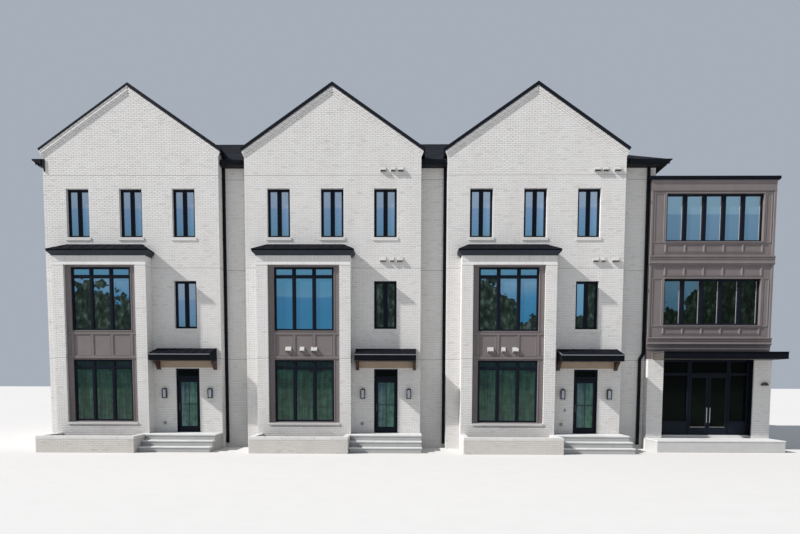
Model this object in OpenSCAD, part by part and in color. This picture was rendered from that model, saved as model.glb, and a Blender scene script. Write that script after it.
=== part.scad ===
// Terraced house row: three gabled brick houses with entry bays between them,
// and a panelled three-storey end block with a shop front. Millimetres, +Z up,
// the street front faces -Y. Heights are measured from the lowest ground.

/* [Row] */
// distance between the gables of two neighbouring houses, mm
house_pitch = 7696; // [7200:8:8400]
// half width of the projecting gable wall, mm
gable_half = 3353; // [3200:1:3500]
// height of one storey, mm
storey = 3454; // [3200:1:3700]
// top of the ground floor above the lowest ground, mm
floor_level = 600; // [500:1:700]
// thickness of a floor, mm
floor_thick = 350; // [250:1:400]
// thickness of an outside wall, mm
wall = 350; // [250:1:400]
// thickness of a wall between two houses, mm
party_wall = 300; // [200:1:350]
// how far the wall between two gables stands back, mm
recess = 530; // [400:1:650]
// depth of the building from gable front to rear wall, mm
depth = 11486; // [10000:1:12500]

/* [Roof] */
// height of the gable ridge, mm
ridge_z = 13741; // [13500:1:14000]
// slope of the gable roofs, rise over run
gable_slope = 0.6894; // [0.6:0.0001:0.75]
// half width of a gable roof at its tips, mm
rake_half = 3490; // [3420:1:3560]
// height of the main roof edge, mm
eave_z = 10990; // [10900:1:11050]
// front edge of the main roof, mm behind the gable wall face
eave_y = 160; // [120:1:200]
// roof thickness measured upright, mm
roof_thick = 160; // [120:1:200]
// gable roof overhang in front of the gable wall, mm
rake_over = 50; // [30:1:200]
// gutter width, mm
gutter = 100; // [80:1:120]

/* [Windows] */
// width of a sash window opening, mm
win_w = 870; // [800:1:950]
// height of a sash window opening, mm
win_h = 1829; // [1700:1:1950]
// height of the window sill blocks, mm
sill_h = 115; // [90:1:140]
// bottom of the top-floor windows above the ground, mm
top_win_z = 8060; // [7900:1:8200]
// how deep the window frames sit behind the wall face, mm
reveal = 150; // [100:1:180]
// thickness of the window glass, mm
glass_t = 12; // [8:1:20]

/* [Bay] */
// left side of the bay from the gable middle, mm
bay_x0 = -2825; // [-2900:1:-2750]
// right side of the bay from the gable middle, mm
bay_x1 = 716; // [650:1:780]
// how far the bay stands out from the gable wall, mm
bay_out = 560; // [450:1:650]
// width of the brick piers beside the bay windows, mm
bay_pier = 430; // [380:1:480]
// top of the brick apron below the bay window, mm
apron_z = 938; // [850:1:1000]
// bottom of the bay panelling, mm
casing_z0 = 1016; // [960:1:1080]
// top of the bay panelling, mm
casing_z1 = 6942; // [6900:1:7000]
// front face of the bay panelling in front of the gable wall, mm
casing_out = 440; // [400:1:520]
// top of the bay brickwork, mm
bay_top = 7269; // [7200:1:7320]

/* [Entry] */
// left side of the entry opening from the gable middle, mm
door_x0 = 1564; // [1500:1:1620]
// width of the entry opening, mm
door_w = 920; // [880:1:980]
// top of the entry opening, mm
door_top = 3080; // [3000:1:3150]
// thickness of the door leaf, mm
leaf_t = 45; // [40:1:60]
// how far the canopy reaches out over the steps, mm
canopy_out = 900; // [700:1:1000]
// height of one step, mm
step_rise = 200; // [180:1:210]
// depth of one step, mm
step_run = 330; // [280:1:360]

/* [Planter] */
// front face of the planters in front of the gable wall, mm
planter_out = 2000; // [1700:1:2200]
// thickness of the planter walls, mm
planter_wall = 200; // [150:1:250]
// thickness of the stone cap on the planters, mm
planter_cap = 110; // [80:1:130]

/* [End block] */
// left side of the end block from the third gable, mm
block_x0 = 4430; // [4300:1:4500]
// right side of the end block from the third gable, mm
block_x1 = 9170; // [9000:1:9300]
// front face of the panelled wall, mm
block_y = 330; // [250:1:400]
// front face of the ground-floor piers, mm
block_pier_y = 130; // [80:1:200]
// top of the ground-floor piers, mm
block_pier_z = 3485; // [3400:1:3550]
// top of the panelled wall below its coping, mm
block_top = 10270; // [10200:1:10350]
// width of one of the five window lights, mm
light_w = 735; // [700:1:760]
// top of the stone landing in front of the shop, mm
landing_z = 440; // [400:1:500]

/* [Hidden] */
joint_gap = 4;
left_end = -gable_half;
in_y0 = recess + wall;
in_y1 = depth - wall;
link_w = house_pitch - 2 * gable_half;
party_x = house_pitch / 2;
roof_mid = (depth + wall + 20 + eave_y) / 2;
back_y = 2 * roof_mid - eave_y;
main_slope = (ridge_z - eave_z) / (roof_mid - eave_y);
side_gutter = gutter - 40;
roof_x0 = left_end - 381;
roof_x1 = 2 * house_pitch + block_x0 + 220 + 381;
wall_top = 10985;
origin_x = (roof_x0 - side_gutter + 2 * house_pitch + block_x1 + 100) / 2;
origin_y = (back_y + side_gutter - planter_out) / 2;
row_x = 2 * house_pitch;
win_c = door_x0 - 1;
second_win_z = top_win_z - storey;
floor_z = [floor_level, floor_level + storey, floor_level + 2 * storey];
bay_in0 = bay_x0 + bay_pier;
bay_in1 = bay_x1 - bay_pier + 9;
light_x0 = block_x0 + 606;
$fn = 24;

// a box from its low and high limits
module box(x0, x1, y0, y1, z0, z1)
    translate([x0, y0, z0]) cube([x1 - x0, y1 - y0, z1 - z0]);

// the place of house h, 0 to 2
module at_house(h)
    translate([h * house_pitch - origin_x, -origin_y, 0]) children();

module each_house() for (h = [0 : 2]) at_house(h) children();

module at_block() at_house(2) children();

// an outline in x and z drawn out along y
module along_y(y0, y1, pts)
    translate([0, y1, 0]) rotate([90, 0, 0]) linear_extrude(y1 - y0) polygon(pts);

// an outline in y and z drawn out along x
module along_x(x0, x1, pts)
    translate([x0, 0, 0]) rotate([90, 0, 90]) linear_extrude(x1 - x0) polygon(pts);

// ---------------------------------------------------------------- structure

// outline of one house's floor inside its walls
function house_plan(h) = concat(
    [[gable_half - wall, wall], [gable_half - wall, in_y0]],
    [[h == 2 ? block_x0 : party_x - party_wall / 2, in_y0],
     [h == 2 ? block_x0 : party_x - party_wall / 2, in_y1]],
    h == 0 ? [[left_end + wall, in_y1]]
           : [[party_wall / 2 - party_x, in_y1], [party_wall / 2 - party_x, in_y0],
              [wall - gable_half, in_y0]],
    [[wall - gable_half, wall]]);

module floors() color([0.62, 0.60, 0.57]) {
    for (h = [0 : 2], k = [0 : 2]) at_house(h)
        translate([0, 0, floor_z[k] - floor_thick])
            linear_extrude(floor_thick) polygon(house_plan(h));
    // the floors run on into the bays
    each_house() {
        box(bay_in0, bay_in1, wall - bay_out, wall - joint_gap,
            floor_z[0] - floor_thick, floor_z[0]);
        box(bay_in0, bay_in1, 120 - casing_out, wall - joint_gap,
            floor_z[1] - floor_thick, floor_z[1]);
    }
    at_block() for (z = [landing_z + 100, floor_z[1], floor_z[2]])
        box(block_x0 + 220, block_x1 - wall, block_y + 300, in_y1, z - floor_thick, z);
}

module window_hole(x0, z0)
    box(x0, x0 + win_w, -100, wall + 100, z0 - sill_h, z0 + win_h);

// three top-floor windows: left, middle, right
function top_windows() = [-2498, -460, win_c];

// height just under the gable roof, x from the gable middle
function gable_under(x) = ridge_z - gable_slope * x - roof_thick - 2;

module gable_walls() color([0.84, 0.83, 0.80]) each_house() difference() {
    along_y(0, wall, [[-gable_half, bay_top], [gable_half, bay_top],
        [gable_half, gable_under(gable_half)], [0, gable_under(0)],
        [-gable_half, gable_under(gable_half)]]);
    for (x = top_windows()) window_hole(x, top_win_z);
}

module entry_walls_over() color([0.84, 0.83, 0.80]) each_house() difference() {
    box(bay_x1, gable_half, 0, wall, door_top, bay_top);
    window_hole(win_c, second_win_z);
}

module front_wall_piers() color([0.84, 0.83, 0.80]) each_house() {
    box(-gable_half, bay_x0, 0, wall, 0, bay_top);
    box(bay_x1, door_x0, 0, wall, 0, door_top);
    box(door_x0 + door_w, gable_half, 0, wall, 0, door_top);
}

// short walls that close the gable block back to the recessed walls
module return_walls() color([0.82, 0.81, 0.78]) each_house() {
    z = gable_under(gable_half);
    box(-gable_half, wall - gable_half, wall, in_y0, 0, z);
    box(gable_half - wall, gable_half, wall, in_y0, 0, z);
}

module link_walls() color([0.80, 0.79, 0.76]) {
    for (h = [0 : 1]) at_house(h)
        box(gable_half, gable_half + link_w, recess, in_y0, 0, wall_top);
    at_block() {
        box(gable_half, block_x0, recess, in_y0, 0, wall_top);
        box(block_x0, block_x0 + 220, block_y + 300, in_y0, 0, wall_top);
        box(block_x0, block_x0 + 220, recess, block_y + 300, block_top, wall_top);
    }
}

module party_walls() color([0.78, 0.77, 0.74]) {
    for (h = [0 : 1]) at_house(h)
        along_x(party_x - party_wall / 2, party_x + party_wall / 2,
            [[in_y0, 0], [in_y0, party_top(in_y0)], [roof_mid, party_top(roof_mid)],
             [in_y1, party_top(in_y0)], [in_y1, 0]]);
    at_block() {
        box(block_x0, block_x0 + 220, in_y0, in_y1, 0, wall_top);
        box(block_x1 - wall, block_x1, block_y + 300, depth, 0, block_top);
    }
}

function party_top(y) = eave_z - roof_thick - 10 + main_slope * (y - eave_y);

// two windows on each storey of the free end wall
function end_windows() = [3200, 7400];
function storey_windows() = [second_win_z - storey, second_win_z, top_win_z];

module left_end_wall() color([0.84, 0.83, 0.80]) at_house(0) difference() {
    box(left_end, left_end + wall, in_y0, in_y1, 0, wall_top);
    for (y = end_windows(), z = storey_windows())
        box(left_end - 100, left_end + wall + 100, y, y + win_w, z - sill_h, z + win_h);
}

// two windows on each storey of each house at the back
function rear_windows() = [-1900, 1030];

module rear_walls() color([0.82, 0.81, 0.78]) {
    difference() {
        translate([-origin_x, -origin_y, 0])
            box(left_end, row_x + block_x0 + 220, in_y1, depth, 0, wall_top);
        for (h = [0 : 2]) at_house(h) for (x = rear_windows(), z = storey_windows())
            box(x, x + win_w, in_y1 - 100, depth + 100, z - sill_h, z + win_h);
    }
    difference() {
        at_block() box(block_x0 + 220 + joint_gap, block_x1 - wall, in_y1, depth, 0, block_top);
        at_block() for (x = [light_x0 + 300, light_x0 + 2500], z = [second_win_z, top_win_z])
            box(x, x + win_w, in_y1 - 100, depth + 100, z - sill_h, z + win_h);
    }
}

// -------------------------------------------------------------------- bays

module bay_piers() color([0.85, 0.84, 0.81]) each_house() {
    box(bay_x0, bay_in0, -bay_out, wall, 0, bay_top);
    box(bay_in1, bay_x1, -bay_out, wall, 0, bay_top);
}

// apron below the windows and lintel above them
module bay_brickwork() color([0.85, 0.84, 0.81]) each_house() {
    box(bay_in0, bay_in1, -bay_out, wall - bay_out, 0, apron_z);
    box(bay_in0, bay_in1, -bay_out, wall, casing_z1, bay_top);
}

bay_win_x = [bay_in0 + 220, bay_in1 - 220];
bay_low = [1047, 3403];
bay_high = [4492, 6869];
bay_mullions = [-1428, -672];

module bay_casings() color([0.51, 0.47, 0.45]) each_house() difference() {
    union() {
        box(bay_in0, bay_in1, -casing_out, 120 - casing_out, casing_z0, casing_z1);
        // raised rails and battens on the panel between the windows
        box(bay_in0, bay_in1, -25 - casing_out, -casing_out, bay_high[0] - 142, bay_high[0] - 42);
        box(bay_in0, bay_in1, -25 - casing_out, -casing_out, bay_low[1] + 40, bay_low[1] + 147);
        for (x = concat(bay_mullions, bay_win_x))
            box(x - 45, x + 45, -20 - casing_out, -casing_out, bay_low[1] + 147, bay_high[0] - 142);
    }
    for (z = [bay_low, bay_high])
        box(bay_win_x[0], bay_win_x[1], -700, 0, z[0], z[1]);
}

// a frame of three lights with one cross bar
module bay_frame(z0, z1, bar) difference() {
    box(bay_win_x[0], bay_win_x[1], 30 - casing_out, 100 - casing_out, z0, z1);
    for (k = [0 : 2], j = [0 : 1]) {
        x0 = k == 0 ? bay_win_x[0] + 60 : bay_mullions[k - 1] + 54;
        x1 = k == 2 ? bay_win_x[1] - 60 : bay_mullions[k] - 54;
        box(x0, x1, -600, -200, j == 0 ? z0 + 70 : bar + 50, j == 0 ? bar - 50 : z1 - 60);
    }
}

module bay_window_frames() color([0.10, 0.10, 0.11]) each_house() {
    bay_frame(bay_low[0], bay_low[1], 3095);
    bay_frame(bay_high[0], bay_high[1], 6516);
}

// hipped metal roof over a bay with its fascia
module bay_roofs() color([0.16, 0.16, 0.18]) each_house() {
    // crown moulding that leans out to the roof edge
    hull() {
        box(-2843, 734, -580, 0, bay_top, bay_top + 20);
        box(-2955, 840, -690, 0, 7404, 7444);
    }
    intersection() {
        along_x(-2965, 850, [[-700, 7444], [-700, 7489], [0, 7802], [0, 7444]]);
        along_y(-700, 0, [[-2965, 7444], [-2965, 7489], [-2515, 7802], [400, 7802],
                          [850, 7489], [850, 7444]]);
    }
}

// ----------------------------------------------------------------- windows

// a two-light casement frame facing the street
module casement(x0, y0, z0) difference() {
    box(x0, x0 + win_w, y0, y0 + 60, z0, z0 + win_h);
    box(x0 + 55, x0 + win_w / 2 - 45, y0 - 50, y0 + 110, z0 + 55, z0 + win_h - 55);
    box(x0 + win_w / 2 + 45, x0 + win_w - 55, y0 - 50, y0 + 110, z0 + 55, z0 + win_h - 55);
}

// every window in its place: the street front, the back and the free end
module front_places() each_house() {
    for (x = top_windows()) translate([x, 0, top_win_z]) children();
    translate([win_c, 0, second_win_z]) children();
}

module rear_places() {
    for (h = [0 : 2]) at_house(h) for (x = rear_windows(), z = storey_windows())
        translate([x, 0, z]) children();
    at_block() for (x = [light_x0 + 300, light_x0 + 2500], z = [second_win_z, top_win_z])
        translate([x, 0, z]) children();
}

module end_places() at_house(0) for (y = end_windows(), z = storey_windows())
    translate([left_end, y + win_w, z]) rotate([0, 0, -90]) children();

module casement_frames() color([0.10, 0.10, 0.11]) {
    front_places() casement(0, reveal, 0);
    rear_places() casement(0, depth - reveal - 60, 0);
    end_places() casement(0, reveal, 0);
}

module house_glass() color([0.45, 0.60, 0.68, 0.4]) {
    front_places() box(0, win_w, reveal + 60, reveal + 60 + glass_t, 0, win_h);
    rear_places() box(0, win_w, depth - reveal - 60 - glass_t, depth - reveal - 60, 0, win_h);
    end_places() box(0, win_w, reveal + 60, reveal + 60 + glass_t, 0, win_h);
    each_house() {
        for (z = [bay_low, bay_high])
            box(bay_win_x[0], bay_win_x[1], 100 - casing_out, 100 - casing_out + glass_t, z[0], z[1]);
        box(door_in0, door_in1, 104, 104 + glass_t, 2770, 3040);
    }
}

// a stone sill through the wall, with ears in front of the wall face
module sill() {
    box(0, win_w, 0, wall, -sill_h, 0);
    box(-50, win_w + 50, -28, 0, -sill_h, 0);
}

module window_sills() color([0.80, 0.79, 0.77]) {
    front_places() sill();
    rear_places() translate([0, depth, 0]) mirror([0, 1, 0]) sill();
    end_places() sill();
    each_house() box(bay_in0, bay_in1, -bay_out - 30, 120 - casing_out, apron_z, casing_z0);
}

// ------------------------------------------------------------------- entry

door_in0 = door_x0 + 45;
door_in1 = door_x0 + door_w - 45;
leaf_x0 = door_in0 + 10;
leaf_x1 = door_in1 - 6;
leaf_y = 100;
knuckle = 7;
knuckle_h = 110;
// middle of the hinge knuckles of an entry door, behind its frame
hinge_x = leaf_x1 + 3;
hinge_y = 172;
leaf_z0 = floor_level + 10;
leaf_z1 = 2690;

// two jambs, the bar above the leaf and the head
module door_frames() color([0.11, 0.11, 0.12]) each_house() {
    g = joint_gap;
    for (x = [door_x0, door_in1]) box(x, x + 45, 60, 160, floor_level, door_top);
    box(door_in0 + g, door_in1 - g, 60, 160, leaf_z1 + 6, 2770);
    box(door_in0 + g, door_in1 - g, 60, 160, 3040, door_top);
}

// three hinges: a round knuckle on the turning axis at x, y, and the plate
// that carries it, on the face of the leaf at y_leaf, with its edge at x_edge
module hinges(x, y, x_edge, y_leaf, z_list) {
    s = sign(x_edge - x);
    t = sign(y - y_leaf);
    for (z = z_list) {
        translate([x, y, z]) cylinder(r = knuckle, h = knuckle_h);
        box(min(x_edge, x_edge + 6 * s), max(x_edge, x_edge + 6 * s), min(y, y_leaf), max(y, y_leaf),
            z, z + knuckle_h);
        box(min(x_edge, x_edge + 45 * s), max(x_edge, x_edge + 45 * s), min(y_leaf, y_leaf + 4 * t),
            max(y_leaf, y_leaf + 4 * t), z, z + knuckle_h);
    }
}

// a glazed door leaf with a handle on both sides
module door_leaf() {
    difference() {
        box(leaf_x0, leaf_x1, leaf_y, leaf_y + leaf_t, leaf_z0, leaf_z1);
        box(leaf_x0 + 95, leaf_x1 - 80, 0, 300, 820, 2560);
    }
    hinges(hinge_x, hinge_y, leaf_x1, leaf_y + leaf_t, [760, 1590, 2430]);
    box(leaf_x0 + 25, leaf_x0 + 65, leaf_y - 12, leaf_y, 1440, 1720);
    box(leaf_x0 + 25, leaf_x0 + 150, leaf_y - 60, leaf_y - 40, 1570, 1592);
    box(leaf_x0 + 35, leaf_x0 + 55, leaf_y - 40, leaf_y - 12, 1571, 1591);
    box(leaf_x0 + 25, leaf_x0 + 65, leaf_y + leaf_t, leaf_y + leaf_t + 12, 1440, 1720);
}

module door_glass()
    box(leaf_x0 + 95, leaf_x1 - 80, leaf_y + 16, leaf_y + 28, 820, 2560);

module door_leaf_1() color([0.12, 0.12, 0.13]) at_house(0) door_leaf();
module door_leaf_2() color([0.12, 0.12, 0.13]) at_house(1) door_leaf();
module door_leaf_3() color([0.12, 0.12, 0.13]) at_house(2) door_leaf();
module door_glass_1() color([0.45, 0.60, 0.68, 0.4]) at_house(0) door_glass();
module door_glass_2() color([0.45, 0.60, 0.68, 0.4]) at_house(1) door_glass();
module door_glass_3() color([0.45, 0.60, 0.68, 0.4]) at_house(2) door_glass();

module entry_canopies() color([0.14, 0.14, 0.15]) each_house()
    along_x(880, 3180, [[0, 3360], [-canopy_out, 3360], [-canopy_out, 3600], [0, 3852]]);

// brackets at both ends and a ledger along the wall
module canopy_timbers() color([0.36, 0.22, 0.13]) each_house() {
    for (x = [880, 3070])
        along_x(x, x + 110, [[0, 3024], [0, 3360], [-420, 3360], [-420, 3300], [-110, 3024]]);
    box(990 + joint_gap, 3070 - joint_gap, -60, 0, 3110, 3360);
}

module entry_steps() color([0.74, 0.74, 0.73]) each_house() {
    y1 = -1070;
    box(750, 3400, y1, 0, 0, floor_level);
    box(750, 3400, y1 - step_run, y1 - joint_gap, 0, floor_level - step_rise);
    box(750, 3400, y1 - 2 * step_run, y1 - step_run - joint_gap, 0, floor_level - 2 * step_rise);
    // threshold stone in the doorway
    box(door_x0, door_x0 + door_w, joint_gap, wall, 0, floor_level);
}

// ----------------------------------------------------------------- planter

planter_x0 = -2820;
planter_x1 = 745;

module planter_walls() color([0.80, 0.78, 0.75]) each_house() {
    z = floor_level - planter_cap;
    box(planter_x0, planter_x1, -planter_out, planter_wall - planter_out, 0, z);
    for (x = [planter_x0, planter_x1 - planter_wall])
        box(x, x + planter_wall, planter_wall - planter_out + joint_gap, -bay_out, 0, z);
}

module planter_caps() color([0.83, 0.82, 0.80]) each_house() {
    z = floor_level - planter_cap;
    box(planter_x0, planter_x1, -planter_out, planter_wall - planter_out, z, floor_level);
    for (x = [planter_x0, planter_x1 - planter_wall])
        box(x, x + planter_wall, planter_wall - planter_out + joint_gap, -bay_out, z, floor_level);
}

module planter_floors() color([0.45, 0.42, 0.38]) each_house()
    box(planter_x0 + planter_wall, planter_x1 - planter_wall,
        planter_wall - planter_out, -bay_out, 0, 250);

// -------------------------------------------------------------------- roof

// the hipped main roof as a full block, lowered by d
module hip_block(d, open_down) intersection() {
    z0 = open_down ? 9000 : eave_z - roof_thick;
    along_x(roof_x0, roof_x1, [[eave_y, z0], [eave_y, eave_z - d], [roof_mid, ridge_z - d],
        [back_y, eave_z - d], [back_y, z0]]);
    along_y(eave_y - 10, back_y + 10, [[roof_x0, z0], [roof_x0, eave_z - d], [0, ridge_z - d],
        [row_x, ridge_z - d], [roof_x1, eave_z - d], [roof_x1, z0]]);
}

// the space a gable roof takes, and all below it inside the walls
module under_gable() {
    xi = gable_half - 50;
    xo = rake_half + 2;
    along_y(-500, roof_mid + 10, [[-gable_half, 9000], [gable_half, 9000],
        [gable_half, ridge_z - gable_slope * gable_half + 1], [0, ridge_z + 1],
        [-gable_half, ridge_z - gable_slope * gable_half + 1]]);
    for (s = [-1, 1])
        along_y(-500, roof_mid + 10, [[s * xi, ridge_z - gable_slope * xi + 1],
            [s * xo, ridge_z - gable_slope * xo + 1], [s * xo, gable_under(xo)], [s * xi, gable_under(xi)]]);
}

module roof_part(plan) intersection() {
    difference() {
        hip_block(0, false);
        hip_block(roof_thick, true);
    }
    translate([0, 0, eave_z - roof_thick - 10]) linear_extrude(ridge_z - eave_z + 400) polygon(plan);
}

// four slopes, with the ridge from the first gable to the third
module main_roof() color([0.24, 0.24, 0.25]) translate([-origin_x, -origin_y, 0]) {
    g = 6;
    difference() {
        roof_part([[roof_x0 + g, eave_y - 5], [roof_x1 - g, eave_y - 5], [roof_x1 - g, eave_y],
            [row_x - g, roof_mid - g], [g, roof_mid - g], [roof_x0 + g, eave_y]]);
        for (h = [0 : 2]) translate([h * house_pitch, 0, 0]) under_gable();
    }
    roof_part([[roof_x0 + g, back_y + 5], [roof_x1 - g, back_y + 5], [roof_x1 - g, back_y],
        [row_x - g, roof_mid + g], [g, roof_mid + g], [roof_x0 + g, back_y]]);
    difference() {
        roof_part([[roof_x0 - 5, eave_y + 2 * g], [roof_x0, eave_y + 2 * g], [-g, roof_mid],
            [roof_x0, back_y - 2 * g], [roof_x0 - 5, back_y - 2 * g]]);
        under_gable();
    }
    roof_part([[roof_x1 + 5, eave_y + 2 * g], [roof_x1, eave_y + 2 * g], [row_x + g, roof_mid],
        [roof_x1, back_y - 2 * g], [roof_x1 + 5, back_y - 2 * g]]);
}

// a sloping strip under the gable roof line, from drop a down to drop b,
// with its lower end cut square, or upright where cut is 0
module rake_strip(s, xi, xo, y0, y1, a, b, cut = 1) {
    xb = xo - cut * (b - a) * gable_slope / (1 + gable_slope * gable_slope);
    along_y(y0, y1, [[s * xi, ridge_z - gable_slope * xi - a], [s * xo, ridge_z - gable_slope * xo - a],
        [s * xb, ridge_z - gable_slope * xb - b], [s * xi, ridge_z - gable_slope * xi - b]]);
}

module gable_roofs() color([0.24, 0.24, 0.25]) difference() {
    each_house() for (s = [-1, 1]) {
        rake_strip(s, joint_gap / 2, rake_half, -rake_over, 400, 0, roof_thick);
        rake_strip(s, joint_gap / 2, rake_half, 400, roof_mid - 20, 0, roof_thick, 0);
    }
    translate([-origin_x, -origin_y, 0]) {
        hip_block(roof_thick, true);
        // the right-hand hip stands above the third gable roof
        linear_extrude(ridge_z + 100) polygon([[roof_x1, eave_y], [row_x - 4, roof_mid - 4],
            [row_x - 4, roof_mid + 4], [roof_x1, back_y]]);
    }
}

module rake_trims() color([0.20, 0.19, 0.19]) each_house() for (s = [-1, 1])
    rake_strip(s, joint_gap / 2, rake_half, -rake_over - 25, -rake_over, -12, roof_thick - 28);

// three brick courses under the roof edge, each standing out past the next
module rake_corbels() color([0.84, 0.83, 0.80]) each_house() for (s = [-1, 1], k = [0 : 2])
    rake_strip(s, joint_gap / 2, 3440 - 25 * k, -rake_over + 17 * k, 0,
        roof_thick + max(83 * k, 2), roof_thick + 83 * (k + 1));

// gutters on every level edge, and the downpipes
module gutters() color([0.14, 0.12, 0.11]) {
    z0 = eave_z - 190;
    z1 = eave_z - 17;
    for (h = [0 : 1]) at_house(h)
        box(rake_half, house_pitch - rake_half, eave_y - gutter, eave_y, z0, z1);
    at_house(0) {
        box(roof_x0 - side_gutter, -rake_half, eave_y - gutter, eave_y, z0, z1);
        // the left eave returns round the corner of the first gable
        along_y(-44, eave_y - gutter + 1, [[-3794, z1], [-3794, 10945], [-3400, 10780],
            [-gable_half - joint_gap, 10720], [-gable_half - joint_gap, z1]]);
        along_y(-44, -joint_gap, [[-3400, 10780], [-3292, 10630], [-3292, 10505], [-3230, 10505],
            [-3230, z1], [-3400, z1]]);
        box(roof_x0 - side_gutter, roof_x0, eave_y + joint_gap, back_y - joint_gap, z0, z1);
        box(roof_x0 - side_gutter, roof_x1 + side_gutter, back_y, back_y + side_gutter, z0, z1);
        box(roof_x1, roof_x1 + side_gutter, eave_y + joint_gap, back_y - joint_gap, z0, z1);
        box(row_x + rake_half, roof_x1 + side_gutter, eave_y - gutter, eave_y, z0, z1);
    }
    pipe_top = eave_z - roof_thick - 40 - joint_gap;
    at_house(0) box(3358, 3468, 440, 525, 150, pipe_top);
    at_house(1) box(4220, 4330, 440, 525, 150, pipe_top);
    at_house(2) along_y(440, 525, [[4310, pipe_top], [4420, pipe_top], [4420, 3700], [4290, 3480],
        [4290, 150], [4180, 150], [4180, 3500], [4310, 3720]]);
}

module soffits() color([0.30, 0.28, 0.27]) {
    z0 = eave_z - roof_thick - 40;
    z1 = eave_z - roof_thick;
    for (h = [0 : 1]) at_house(h)
        box(gable_half, gable_half + link_w, eave_y, recess, z0, z1);
    at_house(0) {
        box(roof_x0, left_end, eave_y, back_y, z0, z1);
        box(left_end + joint_gap, row_x + block_x0 + 220, depth, back_y, z0, z1);
        box(row_x + gable_half, row_x + block_x0 + 220, eave_y, recess, z0, z1);
        box(row_x + block_x0 + 220 + joint_gap, roof_x1, eave_y, back_y, z0, z1);
    }
}

// ---------------------------------------------------------------- fittings

module wall_lamps() color([0.20, 0.20, 0.21]) each_house() for (x = [1138, 2914]) {
    box(x - 55, x + 55, -30, 0, 1990, 2270);
    box(x - 90, x + 90, -130, -30, 1930, 2330);
}

// a small box beside each entry, and a round-topped fitting on the shop pier
module wall_boxes() color([0.62, 0.61, 0.60]) {
    each_house() box(1050, 1165, -60, 0, 905, 1020);
    at_house(2) box(1215, 1275, -25, 0, 1455, 1570);
    at_block() intersection() {
        translate([8899, block_pier_y - 110, 2480]) rotate([-90, 0, 0]) cylinder(r = 125, h = 110);
        box(8700, 9100, -200, 500, 2480, 2700);
    }
}

// air outlets: left and right edge of each hood from the gable middle
hoods_top = [[[1812, 2020], [2208, 2380], [2472, 2682]], [[2140, 2396], [2466, 2676], [2884, 3139]]];
hoods_mid = [[[1795, 2025], [2176, 2330], [2443, 2672]], [[2164, 2388], [2470, 2640], [2884, 3150]]];
// outlets on the bay panelling
hoods_bay = [[[-1764, -1540], [-1217, -1044], [-793, -560]], [[-1830, -1600], [-1300, -1149], [-886, -660]]];

module hood(p, y, z0, z1)
    along_x(p[0], p[1], [[y, z0], [y - 95, z0], [y - 95, z0 + 60], [y, z1]]);

module vent_hoods() color([0.90, 0.90, 0.89]) for (h = [1, 2]) at_house(h) {
    for (p = hoods_top[h - 1]) hood(p, 0, 10485, 10668);
    for (p = hoods_mid[h - 1]) hood(p, 0, 7137, 7325);
    difference() {
        for (p = hoods_bay[h - 1]) hood(p, -casing_out, 3694, 3897);
        // let in over the battens
        for (x = bay_mullions) box(x - 45, x + 45, -20 - casing_out, 0, 3600, 4000);
    }
}

// --------------------------------------------------------------- end block

block_win = [4806, 6571];
block_win_top = [7979, 9775];
shop_x0 = block_x0 + 604;
shop_x1 = block_x0 + 4071;
shop_z0 = landing_z + 100;
shop_mid = 6930;

module block_front_wall() color([0.50, 0.46, 0.45]) at_block() difference() {
    box(block_x0, block_x1, block_y, block_y + 300, block_pier_z, block_top);
    for (w = [block_win, block_win_top])
        box(light_x0, light_x0 + 5 * light_w, block_y - 100, block_y + 400, w[0], w[1]);
}

// friezes, bands, sills, corner boards and battens on the panelled wall
module block_mouldings() color([0.50, 0.46, 0.45]) at_block() {
    box(block_x0, block_x1, block_y - 40, block_y, 9867, block_top);
    box(block_x0 - 20, block_x1 + 20, block_y - 100, block_y, 7091, 7433);
    box(block_x0 - 20, block_x1 + 20, block_y - 100, block_y, 4017, 4327);
    box(block_x0, block_x1, block_y - 40, block_y, 3870, 4017 - joint_gap);
    for (w = [block_win, block_win_top])
        box(light_x0 - 60, light_x0 + 5 * light_w + 60, block_y - 60, block_y, w[0] - 80, w[0]);
    for (k = [0 : 5], z = [[4480, 4690], [6700, 7050], [7590, 7860]])
        box(light_x0 + k * light_w - 30, light_x0 + k * light_w + 30, block_y - 28, block_y, z[0], z[1]);
    for (x = [block_x0, block_x1 - 100], z = [[4327, 7091], [7433, 9867]])
        box(x, x + 100, block_y - 30, block_y, z[0] + joint_gap, z[1] - joint_gap);
}

module block_piers() color([0.78, 0.75, 0.72]) at_block() {
    box(block_x0, shop_x0, block_pier_y, block_y + 300, 0, block_pier_z);
    box(shop_x1, block_x1, block_pier_y, block_y + 300, 0, block_pier_z);
}

// five-light frames upstairs and the shop front frame
module block_frames() color([0.10, 0.10, 0.11]) at_block() {
    for (w = [block_win, block_win_top]) difference() {
        box(light_x0, light_x0 + 5 * light_w, block_y + 90, block_y + 160, w[0], w[1]);
        for (k = [0 : 4])
            box(light_x0 + k * light_w + (k == 0 ? 50 : 75), light_x0 + (k + 1) * light_w - (k == 4 ? 50 : 75),
                block_y, block_y + 250, w[0] + 50, w[1] - 50);
    }
    // a side light at both sides of the doors and the light above them
    for (x = [[shop_x0, shop_mid - 755], [shop_mid + 755, shop_x1]]) difference() {
        box(x[0], x[1], 430, 500, shop_z0, block_pier_z);
        box(x[0] + 60, x[1] - 60, 300, 600, shop_z0 + 540, block_pier_z - 60);
    }
    difference() {
        box(shop_mid - 755 + joint_gap, shop_mid + 755 - joint_gap, 430, 500, 2900, block_pier_z);
        box(shop_mid - 755 + 50, shop_mid + 755 - 50, 300, 600, 2960, block_pier_z - 60);
    }
}

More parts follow.
